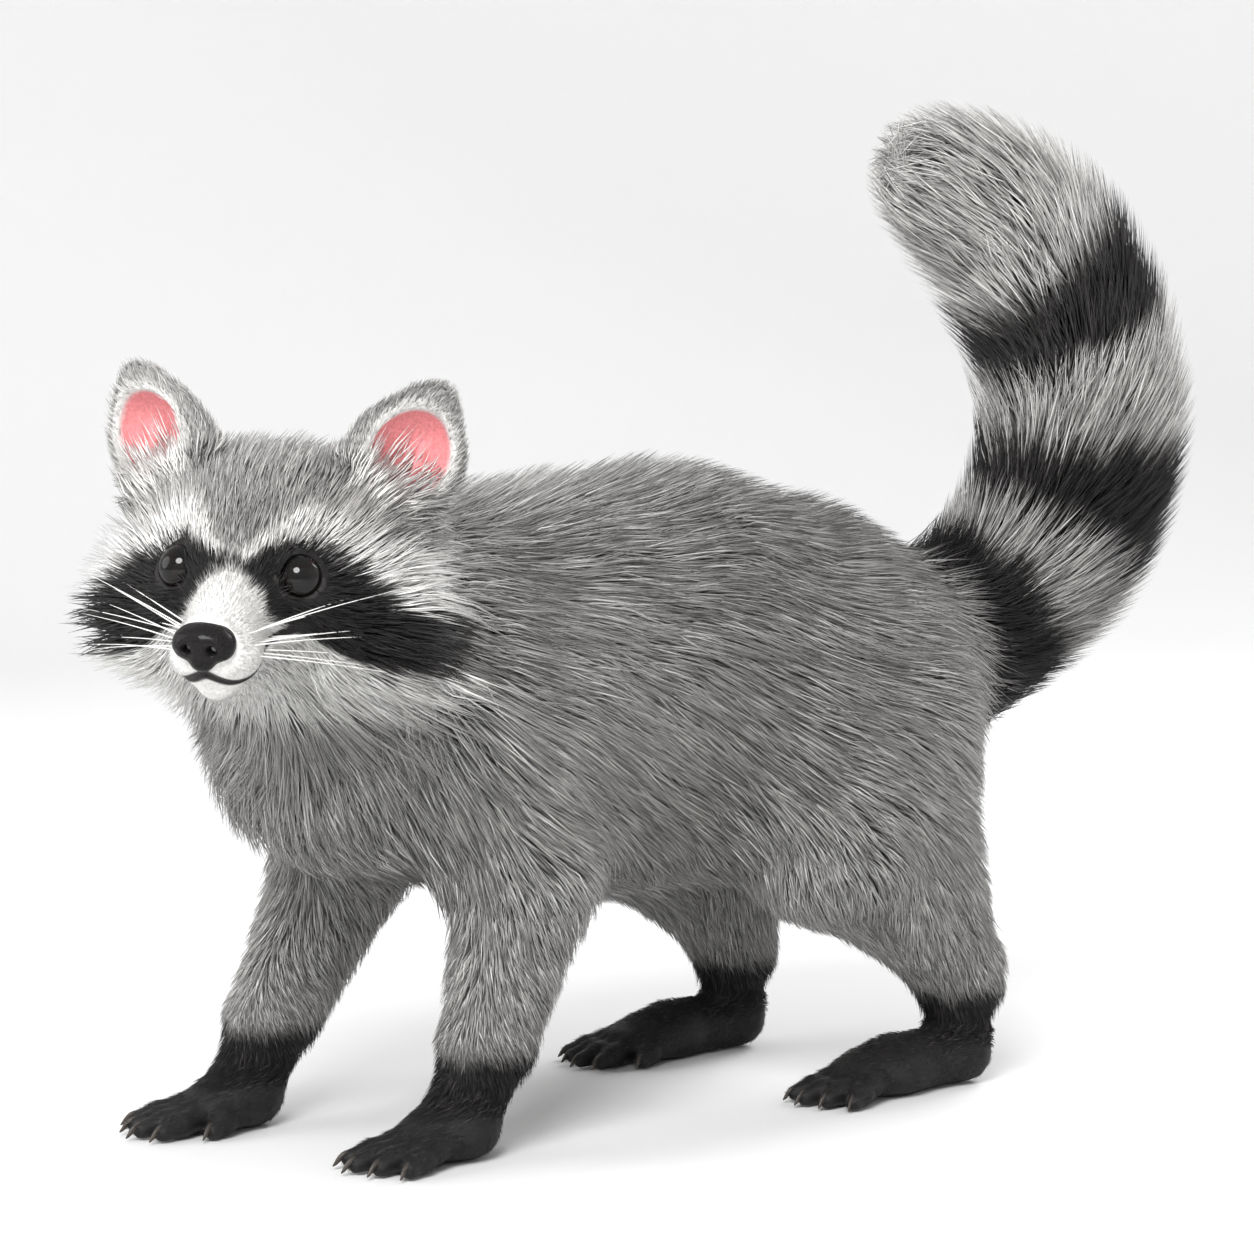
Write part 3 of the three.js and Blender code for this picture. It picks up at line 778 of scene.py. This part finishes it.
def nose_field(points):
    q = in_head(points)
    wings = [egg(q, (side * 6.2, 77.5, -10.5), (5, 6.6, 5.2)) for side in LEFT_AND_RIGHT]
    pad = blend(3, [egg(q, (0, 76, -8.5), (9.5, 9.5, 6.2)), egg(q, (0, 78, -14), (5.2, 7, 6))] + wings)
    for side in LEFT_AND_RIGHT:
        nostril = limb(q, (side * 4.4, 86, -11.5), (side * 4.8, 79, -11), 2.0, 1.2)
        slit = limb(q, (side * 5.2, 85.5, -12.6), (side * 11.5, 80, -14.2), 0.9, 0.5)
        pad = hollowed(1.2, hollowed(1.0, pad, nostril), slit)
    groove = limb(q, (0, 87, -9.5), (0, 84, -21), 0.55, 0.7)
    return hollowed(1.0, pad, groove) * HEAD_SIZE


low = np.floor((from_head(NOSE_MIDDLE) / MM - NOSE_BOX / 2) / NOSE_CELL).astype(int)
size = np.full(3, int(NOSE_BOX / NOSE_CELL))
values = nose_field(grid_points(low, size, NOSE_CELL)).reshape(size)
leather, shader, tree = new_material(
    "nose leather", Specular_IOR_Level=0.05, Coat_Weight=0.14, Coat_Roughness=0.12)
place = added(tree, "NewGeometry")
pebbles = added(tree, "TexVoronoi", Vector=place.outputs["Position"], Scale=1100)
pebbles.feature = "SMOOTH_F1"
from_middle = pebbles.outputs["Distance"]
tone = ramp(tree, from_middle, ((0, (0.016, 0.014, 0.014, 1)), (1, (0.004, 0.004, 0.004, 1))))
gloss = added(tree, "MapRange", Value=from_middle, To_Min=0.25, To_Max=0.5)
relief = added(tree, "Bump", Strength=0.6, Distance=0.3 * MM, Height=from_middle)
relief.invert = True
feed(shader, Base_Color=tone, Roughness=gloss.outputs["Result"], Normal=relief.outputs["Normal"])
nose = new_piece("nose_pad", *net(values, low, NOSE_CELL), leather, "nose")
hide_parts("nose")

# ---------------- the claws
# A curved claw of dark horn on each of the twenty toes, set in the end of the toe and clear of the
# floor.
CLAW_RINGS, CLAW_SPOKES = 9, 10


def tube(path, radii, spokes, flat=1.0):
    """The points round a path, ring by ring, flattened across by the given share."""
    along = unit(np.gradient(path, axis=0))
    across = unit(np.cross(along, (0, 0, 1)))
    up = np.cross(along, across)
    turns = np.arange(spokes) * 2 * np.pi / spokes
    rings = [p + r * (np.outer(np.cos(turns), a) * flat + np.outer(np.sin(turns), u))
             for p, r, a, u in zip(path, radii, across, up)]
    return np.array(rings)


def joined(bodies):
    """The points and faces of many ringed bodies, as one piece."""
    points, faces = [], []
    for rings in bodies:
        start = sum(len(body) for body in points)
        faces += [tuple(start + corner for corner in face) for face in round_body(rings)]
        points.append(rings.reshape(-1, 3))
    return np.concatenate(points), faces


horn = grained("claw horn", 600, 1.0, colour=(0.045, 0.037, 0.031, 1),
               Coat_Weight=0.3, Coat_Roughness=0.3)
claws = []
for x, y, hind in PAWS.values():
    for i in range(len(TOE_FAN)):
        along, length = toe_line(x, y, hind, i)
        t = np.linspace(0, 1, CLAW_RINGS)
        reach = length - 2 + t * (8.5 if hind else 9.5)
        height = 5.0 + 1.6 * np.sin(np.pi * np.minimum(t * 1.1, 1)) - 3.4 * t**2
        path = np.array([along(*place) for place in zip(reach, height)])
        rings = tube(path, 1.9 * (1 - t) ** 0.6 + 0.25, CLAW_SPOKES, flat=0.62)
        claws.append(rings * MM + body_origin)
new_piece("claws", *joined(claws), horn, "dark_coat")

# ---------------- the whiskers
# Stiff white bristles in rows on each side of the muzzle, swept back and thinning to a point, with
# their roots in the flesh of the lip.
WHISKER_ROWS = ((-8.5, 3), (-12, 4), (-15.5, 3))  # height on the head, and how many
WHISKER_RINGS, WHISKER_SPOKES = 12, 5
bristle = grained("whisker", 300, 0.5, colour=(0.8, 0.79, 0.77, 1))
draw = np.random.default_rng(5)
whiskers = []
for side in LEFT_AND_RIGHT:
    for height, count in WHISKER_ROWS:
        for i in range(count):
            ahead = 66 - 5.5 * i + draw.uniform(-0.8, 0.8)
            spot = np.array([[side * 30, ahead, height]])
            inward = np.array([side * -1.0, 0, 0])
            for _ in range(40):
                spot = spot + inward * np.clip(head_field(spot), -1, 1)[:, None] * 0.8
            root = spot[0] + inward * 1.5
            length = draw.uniform(52, 72)
            way = np.array([side * (0.62 if side > 0 else 0.8), -0.62, (height + 11.5) * 0.035 + 0.06])
            way += draw.normal(size=3) * 0.05
            way /= np.linalg.norm(way)
            t = np.linspace(0, 1, WHISKER_RINGS)[:, None]
            bend = np.array([side * 0.05, -0.55, -0.25])
            path = from_head(root + way * t * length + bend * t**2 * length * 0.35)
            radii = (0.27 * (1 - t[:, 0]) + 0.06) * MM
            whiskers.append(tube(path, radii, WHISKER_SPOKES))
new_piece("whiskers", *joined(whiskers), bristle, "pale_coat")

# ---------------- the coat
# The hair, as solid tapered hairs with three flat sides, rooted in the skin. They lie back from the
# nose over the body to the tail, and reach out to the surface of the solids, which is their tips.
NOSE_TIP = np.array([0, 84, -10])
NOSE_PAD = np.array([11, 11, 9])
ROOT_DEPTH = 0.6  # how deep in the skin a hair starts
CLEAR_OF_FLOOR = 0.6
FARTHEST_OUT = 5.0  # a hair whose tip is farther out of the solids than this is cut back
LOCK_SIZE = 8
PATCH = 0.003  # how wide each hair's patch of the unwrap is
SHORT = 6.5  # hairs shorter than this are straight
MOST_IN_A_PIECE = 19000
# A hair's tone at its root, middle and tip, against the marking that it grows in.
WHITE_HAIR = (0.78, 1.0, 1.08)
GREY_HAIR, BLACK_TIPPED, PALE_TIPPED = (0.42, 0.88, 1.25), (0.42, 1.0, 0.16), (0.55, 1.3, 2.0)
BLACK_HAIR, BROWN_TIPPED, GREY_TIPPED = (0.8, 1.0, 1.2), (0.9, 1.9, 3.2), (0.9, 4.0, 10.0)


def ear_share(q, side):
    """How much each point belongs to an ear, from 0 to 1."""
    across, back, up = in_ear(q, side).T
    return eased(up, 3, 20) * (np.abs(across) < 34) * (np.abs(back) < 26) * (up < EAR_HEIGHT + 20)


def tail_share(p):
    return eased(p[:, 1], 186, 214) * eased(p[:, 2], 110, 140)


def coarseness(points):
    """From 0, the short fine hair of the nose and toes, to 1, the long coat of the trunk."""
    p, q = in_body(points), in_head(points)
    by_height = np.interp(p[:, 2], [8, 40, 100, 150], [0.1, 0.3, 0.7, 1])
    by_nose = np.interp(lengths(q - NOSE_TIP), [0, 30, 60, 95, 125], [0, 0.14, 0.33, 0.8, 1])
    least = np.minimum(by_height, by_nose)
    ear = np.maximum(ear_share(q, 1), ear_share(q, -1))
    return least * (1 - ear) + np.minimum(least, 0.25) * ear


def apart(points):
    """How far apart the roots are, in millimetres."""
    return np.interp(coarseness(points), [0, 0.25, 0.5, 1], [0.75, 1.05, 1.3, 1.62])


def scattered(mesh, spacing, seed):
    """Roots spread over a mesh: their places, normals and places on its unwrap."""
    mesh.calc_loop_triangles()
    corners = read(mesh.loop_triangles, "vertices", 3, np.int32)
    loops = read(mesh.loop_triangles, "loops", 3, np.int32)
    points, normals = read(mesh.vertices, "co", 3), read(mesh.vertices, "normal", 3)
    unwrap = read(mesh.uv_layers["OFBake"].data, "uv", 2)
    a, b, c = points[corners].transpose(1, 0, 2)
    area = lengths(np.cross(b - a, c - a)) / 2 / MM**2
    total = np.cumsum(area / spacing((a + b + c) / 3) ** 2)
    number = np.diff(np.floor(total), prepend=0).astype(int)
    chosen = np.repeat(np.arange(len(corners)), number)
    u, v = np.random.default_rng(seed).random((2, len(chosen)))
    u, v = np.where(u + v > 1, (1 - u, 1 - v), (u, v))
    weights = np.stack([1 - u - v, u, v], -1)[:, :, None]
    at = (points[corners[chosen]] * weights).sum(axis=1)
    normal = unit((normals[corners[chosen]] * weights).sum(axis=1))
    return at, normal, (unwrap[loops[chosen]] * weights).sum(axis=1)


over_head = in_body(from_head([NOSE_TIP, (0, 40, 0), (0, 0, 6), (0, -30, -4)]))
BACK_BONE = [(8, -140, 205), (2, -85, 200), (0, -30, 198), (0, 34, 200), (0, 105, 188)]
spine = smooth_line(np.vstack([over_head, BACK_BONE, tail_line]), 3)


def along_spine(p):
    """The way from nose to tail at each point, blended from the nearest parts of the spine."""
    middles, ways = (spine[1:] + spine[:-1]) / 2, unit(np.diff(spine, axis=0))
    reach = [lengths(p - middle) for middle in middles]
    nearest = np.min(reach, axis=0)
    return unit(sum(np.exp((nearest - r) / 8)[:, None] * way for r, way in zip(reach, ways)))


def lie(points, normals):
    """The way that the hair lies on the skin, along its surface."""
    p, q = in_body(points), in_head(points)
    way = along_spine(p)
    tail = tail_share(p)
    flank = eased(p[:, 1], -160, -100) * (1 - tail) * np.abs(normals[:, 0])
    rump = eased(p[:, 1], 120, 180) * (1 - tail) * eased(normals[:, 1], 0.1, 0.7)
    way = way + (flank * 0.6 + rump * 1.8)[:, None] * (0, 0, -1)
    leg = (1 - eased(p[:, 2], 95, 165)) * (1 - eased(-normals[:, 2], 0.55, 0.9))
    leg = (leg * (1 - tail))[:, None]
    way = way * (1 - leg) + leg * (0, 0.35, -1.0)
    paw = (1 - eased(p[:, 2], 24, 42))[:, None]
    way = way * (1 - paw) + paw * (0, -1.0, -0.2)

    aside = np.abs(q[:, 0])
    from_nose = unit(q - NOSE_TIP) + eased(aside, 22, 60)[:, None] * (0, 0, -0.30)
    from_nose[:, 0] += np.sign(q[:, 0]) * eased(aside, 18, 50) * eased(-q[:, 2], -12, 22) * 0.5
    for side in LEFT_AND_RIGHT:
        near = np.exp(-(from_eye(q, side) - EYE_RADIUS) / 7)
        from_nose += unit(q - eye_at(side)) * np.minimum(near, 1)[:, None] * 0.7
    head = (eased(q[:, 1], -50, 0) * (lengths(q) < 125))[:, None]
    way = way * (1 - head) + head * (from_nose @ head_axes.T)
    for side in LEFT_AND_RIGHT:
        r = in_ear(q, side)
        ear = ear_share(q, side)[:, None]
        fanned = np.stack([r[:, 0] / 60, 0 * r[:, 0], np.ones(len(r))], -1)
        way = way * (1 - ear) + ear * (fanned @ (head_axes @ ear_axes(side)).T)
    return unit(way - normals * dot(way, normals)[:, None])


def bare(points, thinning):
    """Where no hair grows: lids, lips, nose, pads, and most of the inside of the ears."""
    p, q = in_body(points), in_head(points)
    none = (p[:, 2] < 3.5) | (lip_distance(q) < 1.2)
    none |= lengths((q - (0, 77, -11.5)) / NOSE_PAD) < 1
    for side in LEFT_AND_RIGHT:
        none |= (eye_opening(q, side) < 0.9) & (from_eye(q, side) < LID_REACH)
        upper = eased(in_ear(q, side)[:, 2], 8, 24)
        none |= ear_inside(q, side) * (0.8 + 0.2 * upper) > thinning
    return none


draw = np.random.default_rng(12)
at, normal, where = scattered(skin.data, apart, seed=11)
hairy = ~bare(at, draw.random(len(at)))
at, normal, where = at[hairy], normal[hairy], where[hairy]
count = len(at)
coarse = coarseness(at)
depth = np.maximum(-sampled(coat_tips, at), 1.0)
p, q = in_body(at), in_head(at)

# Each hair's path: three points that leave the skin at a slant, then follow the outside of the coat.
way = lie(at, normal)
swing = np.radians(8) * draw.normal(size=count) + np.radians(14) * uneven(at, 24, 7)
way = way * np.cos(swing)[:, None] + np.cross(normal, way) * np.sin(swing)[:, None]

# On the ruffs, which end in the open, the hair keeps straight on instead.
on_ruff = eased(np.abs(q[:, 0]), 30, 48) * eased(q[:, 1], -78, -58) * (lengths(q) < 115)


def outward(points):
    """The way out of the coat at a point on each hair."""
    slope = unit(np.stack([sampled(part, points) for part in np.gradient(coat_tips)], -1))
    return unit(slope * (1 - on_ruff)[:, None] + normal * on_ruff[:, None])


def slanted(way, out, rise):
    return way * np.cos(rise)[:, None] + out * np.sin(rise)[:, None]


def grown(rise, length):
    """The root, middle and tip of every hair, for its slant and length."""
    root = at - normal * ROOT_DEPTH * MM
    step = (length / 2 * MM)[:, None]
    middle = root + slanted(way, normal, rise * 1.25) * step
    out = outward(middle)
    onward = unit(way - out * dot(way, out)[:, None])
    return np.stack([root, middle, middle + slanted(onward, out, rise * 0.78) * step], axis=1)


# It is made longer and steeper until its tip nears the outside of the solids.
rise = np.radians(np.interp(coarse, [0, 0.3, 0.7, 1], [14, 17, 24, 27]) + 12 * eased(depth, 22, 36))
longest = np.interp(coarse, [0, 0.14, 0.3, 0.5, 0.8], [3.2, 5.5, 13, 34, 64])
longest *= 0.45 + 0.55 * eased(lip_distance(q), 2, 9)
shortest = np.interp(coarse, [0, 0.1, 0.25], [2.6, 5.5, 6.5])
length = np.clip(depth / np.sin(rise), shortest, np.maximum(longest, shortest))
for _ in range(3):
    short = np.maximum(-sampled(coat_tips, grown(rise, length)[:, 2]), 0)
    length = np.minimum(length + 0.6 * short, longest)
    rise = np.minimum(rise + np.radians(0.45) * short, np.radians(54))
rise = rise * np.clip(1 + 0.16 * draw.normal(size=count), 0.6, 1.5)
woolly = draw.random(count) < 0.3
length = length * np.where(woolly, draw.uniform(0.55, 0.8, count), draw.uniform(0.88, 1.1, count))
path = grown(rise, length)


def kept_in(points, most):
    """Points drawn back to within the given distance of the solids, and kept above the floor."""
    points = points - outward(points) * np.maximum(sampled(coat_tips, points) - most, 0)[:, None] * MM
    points[:, 2] = np.maximum(points[:, 2], CLEAR_OF_FLOOR * MM)
    return points


def gathered(path, size, pull, seed):
    """Hairs drawn towards one of their neighbours, so that they end in locks of the given size."""
    jitter = np.random.default_rng(seed).normal(size=(len(path), 3)) * 0.12
    cells = np.floor(path[:, 0] / (size * MM) + jitter).astype(int)
    _, leads = np.unique(cells, axis=0, return_index=True)
    tree = KDTree(len(leads))
    for i, lead in enumerate(leads):
        tree.insert(path[lead, 0], i)
    tree.balance()
    lead = leads[[tree.find(root)[1] for root in path[:, 0]]]
    share = np.array([0, 0.45, 1.0])[None, :, None]
    return path + (path[lead] - path) * share * pull[:, None, None]


pull = draw.uniform(0.1, 0.62, count) * eased(length, 7, 26)
path = gathered(path, LOCK_SIZE, pull, seed=13)
for _ in range(3):
    astray = sampled(coat_tips, path[:, 2]) > FARTHEST_OUT
    path[astray, 1:] = (path[astray, 1:] + path[astray, :1]) / 2
path[:, 1], path[:, 2] = kept_in(path[:, 1], 1.0), kept_in(path[:, 2], 2.0)

# Each hair's colours at its root, middle and tip. Grey hairs are banded, and some have black tips.
middle = path[:, 1] * 0.45 + path[:, 2] * 0.55
below = in_head(middle - normal * dot(middle - at, normal)[:, None])
smile = (1 - eased(lip_distance(below), 1.5, 2.8)) * (below[:, 1] > 30)
colour = painted(markings(middle), BLACK, smile)
brightness = colour.max(axis=1)
kind = draw.random(count)
bands = np.tile(WHITE_HAIR, (count, 1))
grey = (brightness > 0.1) & (brightness < 0.5)
along_back = eased(normal[:, 2], 0.1, 0.9) * eased(p[:, 1], -170, -110) * (1 - tail_share(p))
bands[grey] = GREY_HAIR
bands[grey & (kind < 0.26 + 0.2 * along_back)] = BLACK_TIPPED
bands[grey & (kind > 0.76)] = PALE_TIPPED
dark = brightness <= 0.1
bands[dark] = BLACK_HAIR
bands[dark & (kind > 0.7)] = BROWN_TIPPED
bands[dark & (kind > 0.9) & (p[:, 2] < PAW_TOP[1])] = GREY_TIPPED
tone = draw.uniform(0.8, 1.22, count) * (1 + 0.14 * uneven(at, 34, 9) + 0.10 * uneven(at, 8, 10))
colours = np.clip(colour[:, None, :] * (bands * tone[:, None])[:, :, None], 0.004, 0.86)
thickness = np.interp(coarse, [0, 0.25, 0.5, 1], [0.30, 0.42, 0.6, 0.84])
thickness *= draw.uniform(0.75, 1.2, count)


def hair_faces(rings):
    """The faces of one closed hair: its root, its sides and its tip, from three points a ring."""
    faces, last = [(0, 1, 2)], 3 * rings - 3
    sides = [(i, (i + 1) % 3) for i in range(3)]
    for low in range(0, last, 3):
        faces += [(low + b, low + a, low + 3 + a, low + 3 + b) for a, b in sides]
    return faces + [(last + b, last + a, last + 3) for a, b in sides]


def hairs(chosen, rings, start):
    """The points, faces, colours and unwrap of the chosen hairs, with one or two rings in each."""
    kept = [0, 2] if rings == 1 else [0, 1, 2]
    line, tones = path[chosen][:, kept], colours[chosen][:, kept]
    along = np.gradient(line, axis=1)[:, :-1]
    wide = np.cross(along, normal[chosen][:, None])
    wide /= np.maximum(np.linalg.norm(wide, axis=2, keepdims=True), 1e-9)
    thick = np.cross(wide, along)
    thick /= np.maximum(np.linalg.norm(thick, axis=2, keepdims=True), 1e-9)
    swell = np.array([1.0] if rings == 1 else [0.8, 1.0])
    girth = thickness[chosen][:, None, None] * swell[None, :, None] * MM / 2
    corners = np.stack([-wide - thick * 0.35, wide - thick * 0.35, thick * 0.7], axis=2)
    ends = (line[:, :-1, None] + corners * girth[:, :, None]).reshape(len(chosen), rings * 3, 3)
    points = np.concatenate([ends, line[:, -1:]], axis=1)
    tones = np.concatenate([np.repeat(tones[:, :-1], 3, axis=1), tones[:, -1:]], axis=1)
    patch = [(i / 2 - 0.5, ring / rings - 0.5) for ring in range(rings) for i in range(3)] + [(0, 0.5)]
    spots = where[chosen][:, None] + np.array(patch) * PATCH
    faces = hair_faces(rings)
    loops = np.concatenate(faces) + start + np.arange(len(chosen))[:, None] * (rings * 3 + 1)
    sizes = np.tile([len(face) for face in faces], len(chosen))
    return points.reshape(-1, 3), loops.ravel(), sizes, tones.reshape(-1, 3), spots.reshape(-1, 2)


def coat_piece(name, chosen):
    """One piece of the coat, which joins all of the chosen hairs."""
    short = length[chosen] < SHORT
    straight = hairs(chosen[short], 1, 0)
    bent = hairs(chosen[~short], 2, len(straight[0]))
    points, loops, sizes, tones, spots = (np.concatenate(both) for both in zip(straight, bent))
    mesh = bpy.data.meshes.new(name)
    mesh.vertices.add(len(points))
    mesh.loops.add(len(loops))
    mesh.polygons.add(len(sizes))
    mesh.vertices.foreach_set("co", points.ravel())
    mesh.loops.foreach_set("vertex_index", loops)
    mesh.polygons.foreach_set("loop_start", np.cumsum(sizes) - sizes)
    mesh.polygons.foreach_set("loop_total", sizes)
    mesh.update(calc_edges=True)
    paint(mesh, tones)
    mesh.uv_layers.new(name="OFBake").data.foreach_set("uv", spots[loops].ravel())
    placed(mesh, hair, "coat")


hair = grained("hair", 900, 0.35)
owner = nearest_node[tuple(np.round(path[:, 1] / (CELL * MM) - grid_low).astype(int).T)]
for i, name in enumerate(FLESH):
    mine = np.nonzero(owner == i)[0]
    mine = mine[np.argsort(at[mine] @ (0.2, 1.0, -0.4), kind="stable")]
    parts = int(np.ceil(len(mine) / MOST_IN_A_PIECE))
    for number, chosen in enumerate(np.array_split(mine, parts), 1):
        coat_piece(f"coat_{name}_{number}" if parts > 1 else f"coat_{name}", chosen)

# ---------------- floor, lights and camera
# A pale floor that curves up into a plain backdrop all round, three broad soft lights, and the
# camera at the animal's left front.
FLOOR_SPOKES = 96
FLAT_RADIUS, BEND_RADIUS, WALL_TOP = 2.6, 1.4, 4.2
turns = np.arange(FLOOR_SPOKES) * 2 * np.pi / FLOOR_SPOKES
profile = [(1.2, 0)]
profile += [(FLAT_RADIUS + BEND_RADIUS * np.sin(a), BEND_RADIUS * (1 - np.cos(a)))
            for a in np.radians(np.arange(0, 91, 9))]
profile += [(FLAT_RADIUS + BEND_RADIUS, WALL_TOP)]
rings = [[(r * np.cos(t), r * np.sin(t), z) for t in turns] for r, z in profile]
floor_faces = [list(range(FLOOR_SPOKES))]
for start in range(0, (len(rings) - 1) * FLOOR_SPOKES, FLOOR_SPOKES):
    for i in range(FLOOR_SPOKES):
        beside = (i + 1) % FLOOR_SPOKES
        above = start + FLOOR_SPOKES
        floor_faces.append([start + i, above + i, above + beside, start + beside])
floor_mesh = bpy.data.meshes.new("floor")
floor_mesh.from_pydata(np.array(rings).reshape(-1, 3).tolist(), [], floor_faces)
floor_mesh.polygons.foreach_set("use_smooth", np.ones(len(floor_faces), bool))
# The floor's colour is painted light: darker near the animal, where the lamps fall brightest, and
# lighter out to the backdrop in place of lamps to light it, with noise to make the edge of the painted
# light uneven.
paper, shader, tree = new_material("studio floor", Specular_IOR_Level=0.2, Roughness=0.8)
place = added(tree, "NewGeometry").outputs["Position"]
outwards = added(tree, "VectorMath", place)
outwards.operation = "LENGTH"
painted_light_wobble = added(tree, "TexNoise", Vector=place, Scale=5)
spread = added(tree, "Math", painted_light_wobble.outputs["Fac"], 0.12, outwards.outputs["Value"])
spread.operation = "MULTIPLY_ADD"
reach = added(tree, "Math", spread.outputs["Value"], 3.6)
reach.operation = "DIVIDE"
painted_light_near_and_far = ((0.12, (0.74, 0.74, 0.74, 1)), (1, (0.95, 0.95, 0.95, 1)))
feed(shader, Base_Color=ramp(tree, reach.outputs["Value"], painted_light_near_and_far))
floor_mesh.materials.append(paper)
floor = put("floor", floor_mesh)

target = Vector((0, 0, 0.2))
LIGHTS = (("key", (1.05, -1.2, 1.35), 0.9, 41),  # each light's place, width and power
          ("fill", (-0.9, -1.7, 0.9), 1.5, 14),
          ("rim", (-0.4, 2.0, 1.7), 1.3, 42))
for name, place, size, power in LIGHTS:
    lamp = bpy.data.lights.new(name, "AREA")
    lamp.shape = "DISK"
    lamp.size = size
    lamp.energy = power
    light = put(name, lamp)
    light.location = place
    light.rotation_euler = (target - light.location).to_track_quat("-Z", "Y").to_euler()
world = bpy.data.worlds.new("studio")
world.use_nodes = True
feed(world.node_tree.nodes["Background"], Color=(1, 1, 1, 1), Strength=0.64)
bpy.context.scene.world = world
bpy.context.scene.view_settings.view_transform = "Standard"

azimuth, elevation, distance = np.radians(52), np.radians(4), 1.5
level, rise = np.cos(elevation), np.sin(elevation)
back = Vector((np.sin(azimuth) * level, -np.cos(azimuth) * level, rise))
lens = bpy.data.cameras.new("camera")
lens.lens = 97
lens.sensor_width = 36
lens.shift_x = -0.0275
lens.shift_y = 0.0167
camera = put("camera", lens)
camera.location = target + back * distance
camera.rotation_euler = back.to_track_quat("Z", "Y").to_euler()
bpy.context.scene.camera = camera
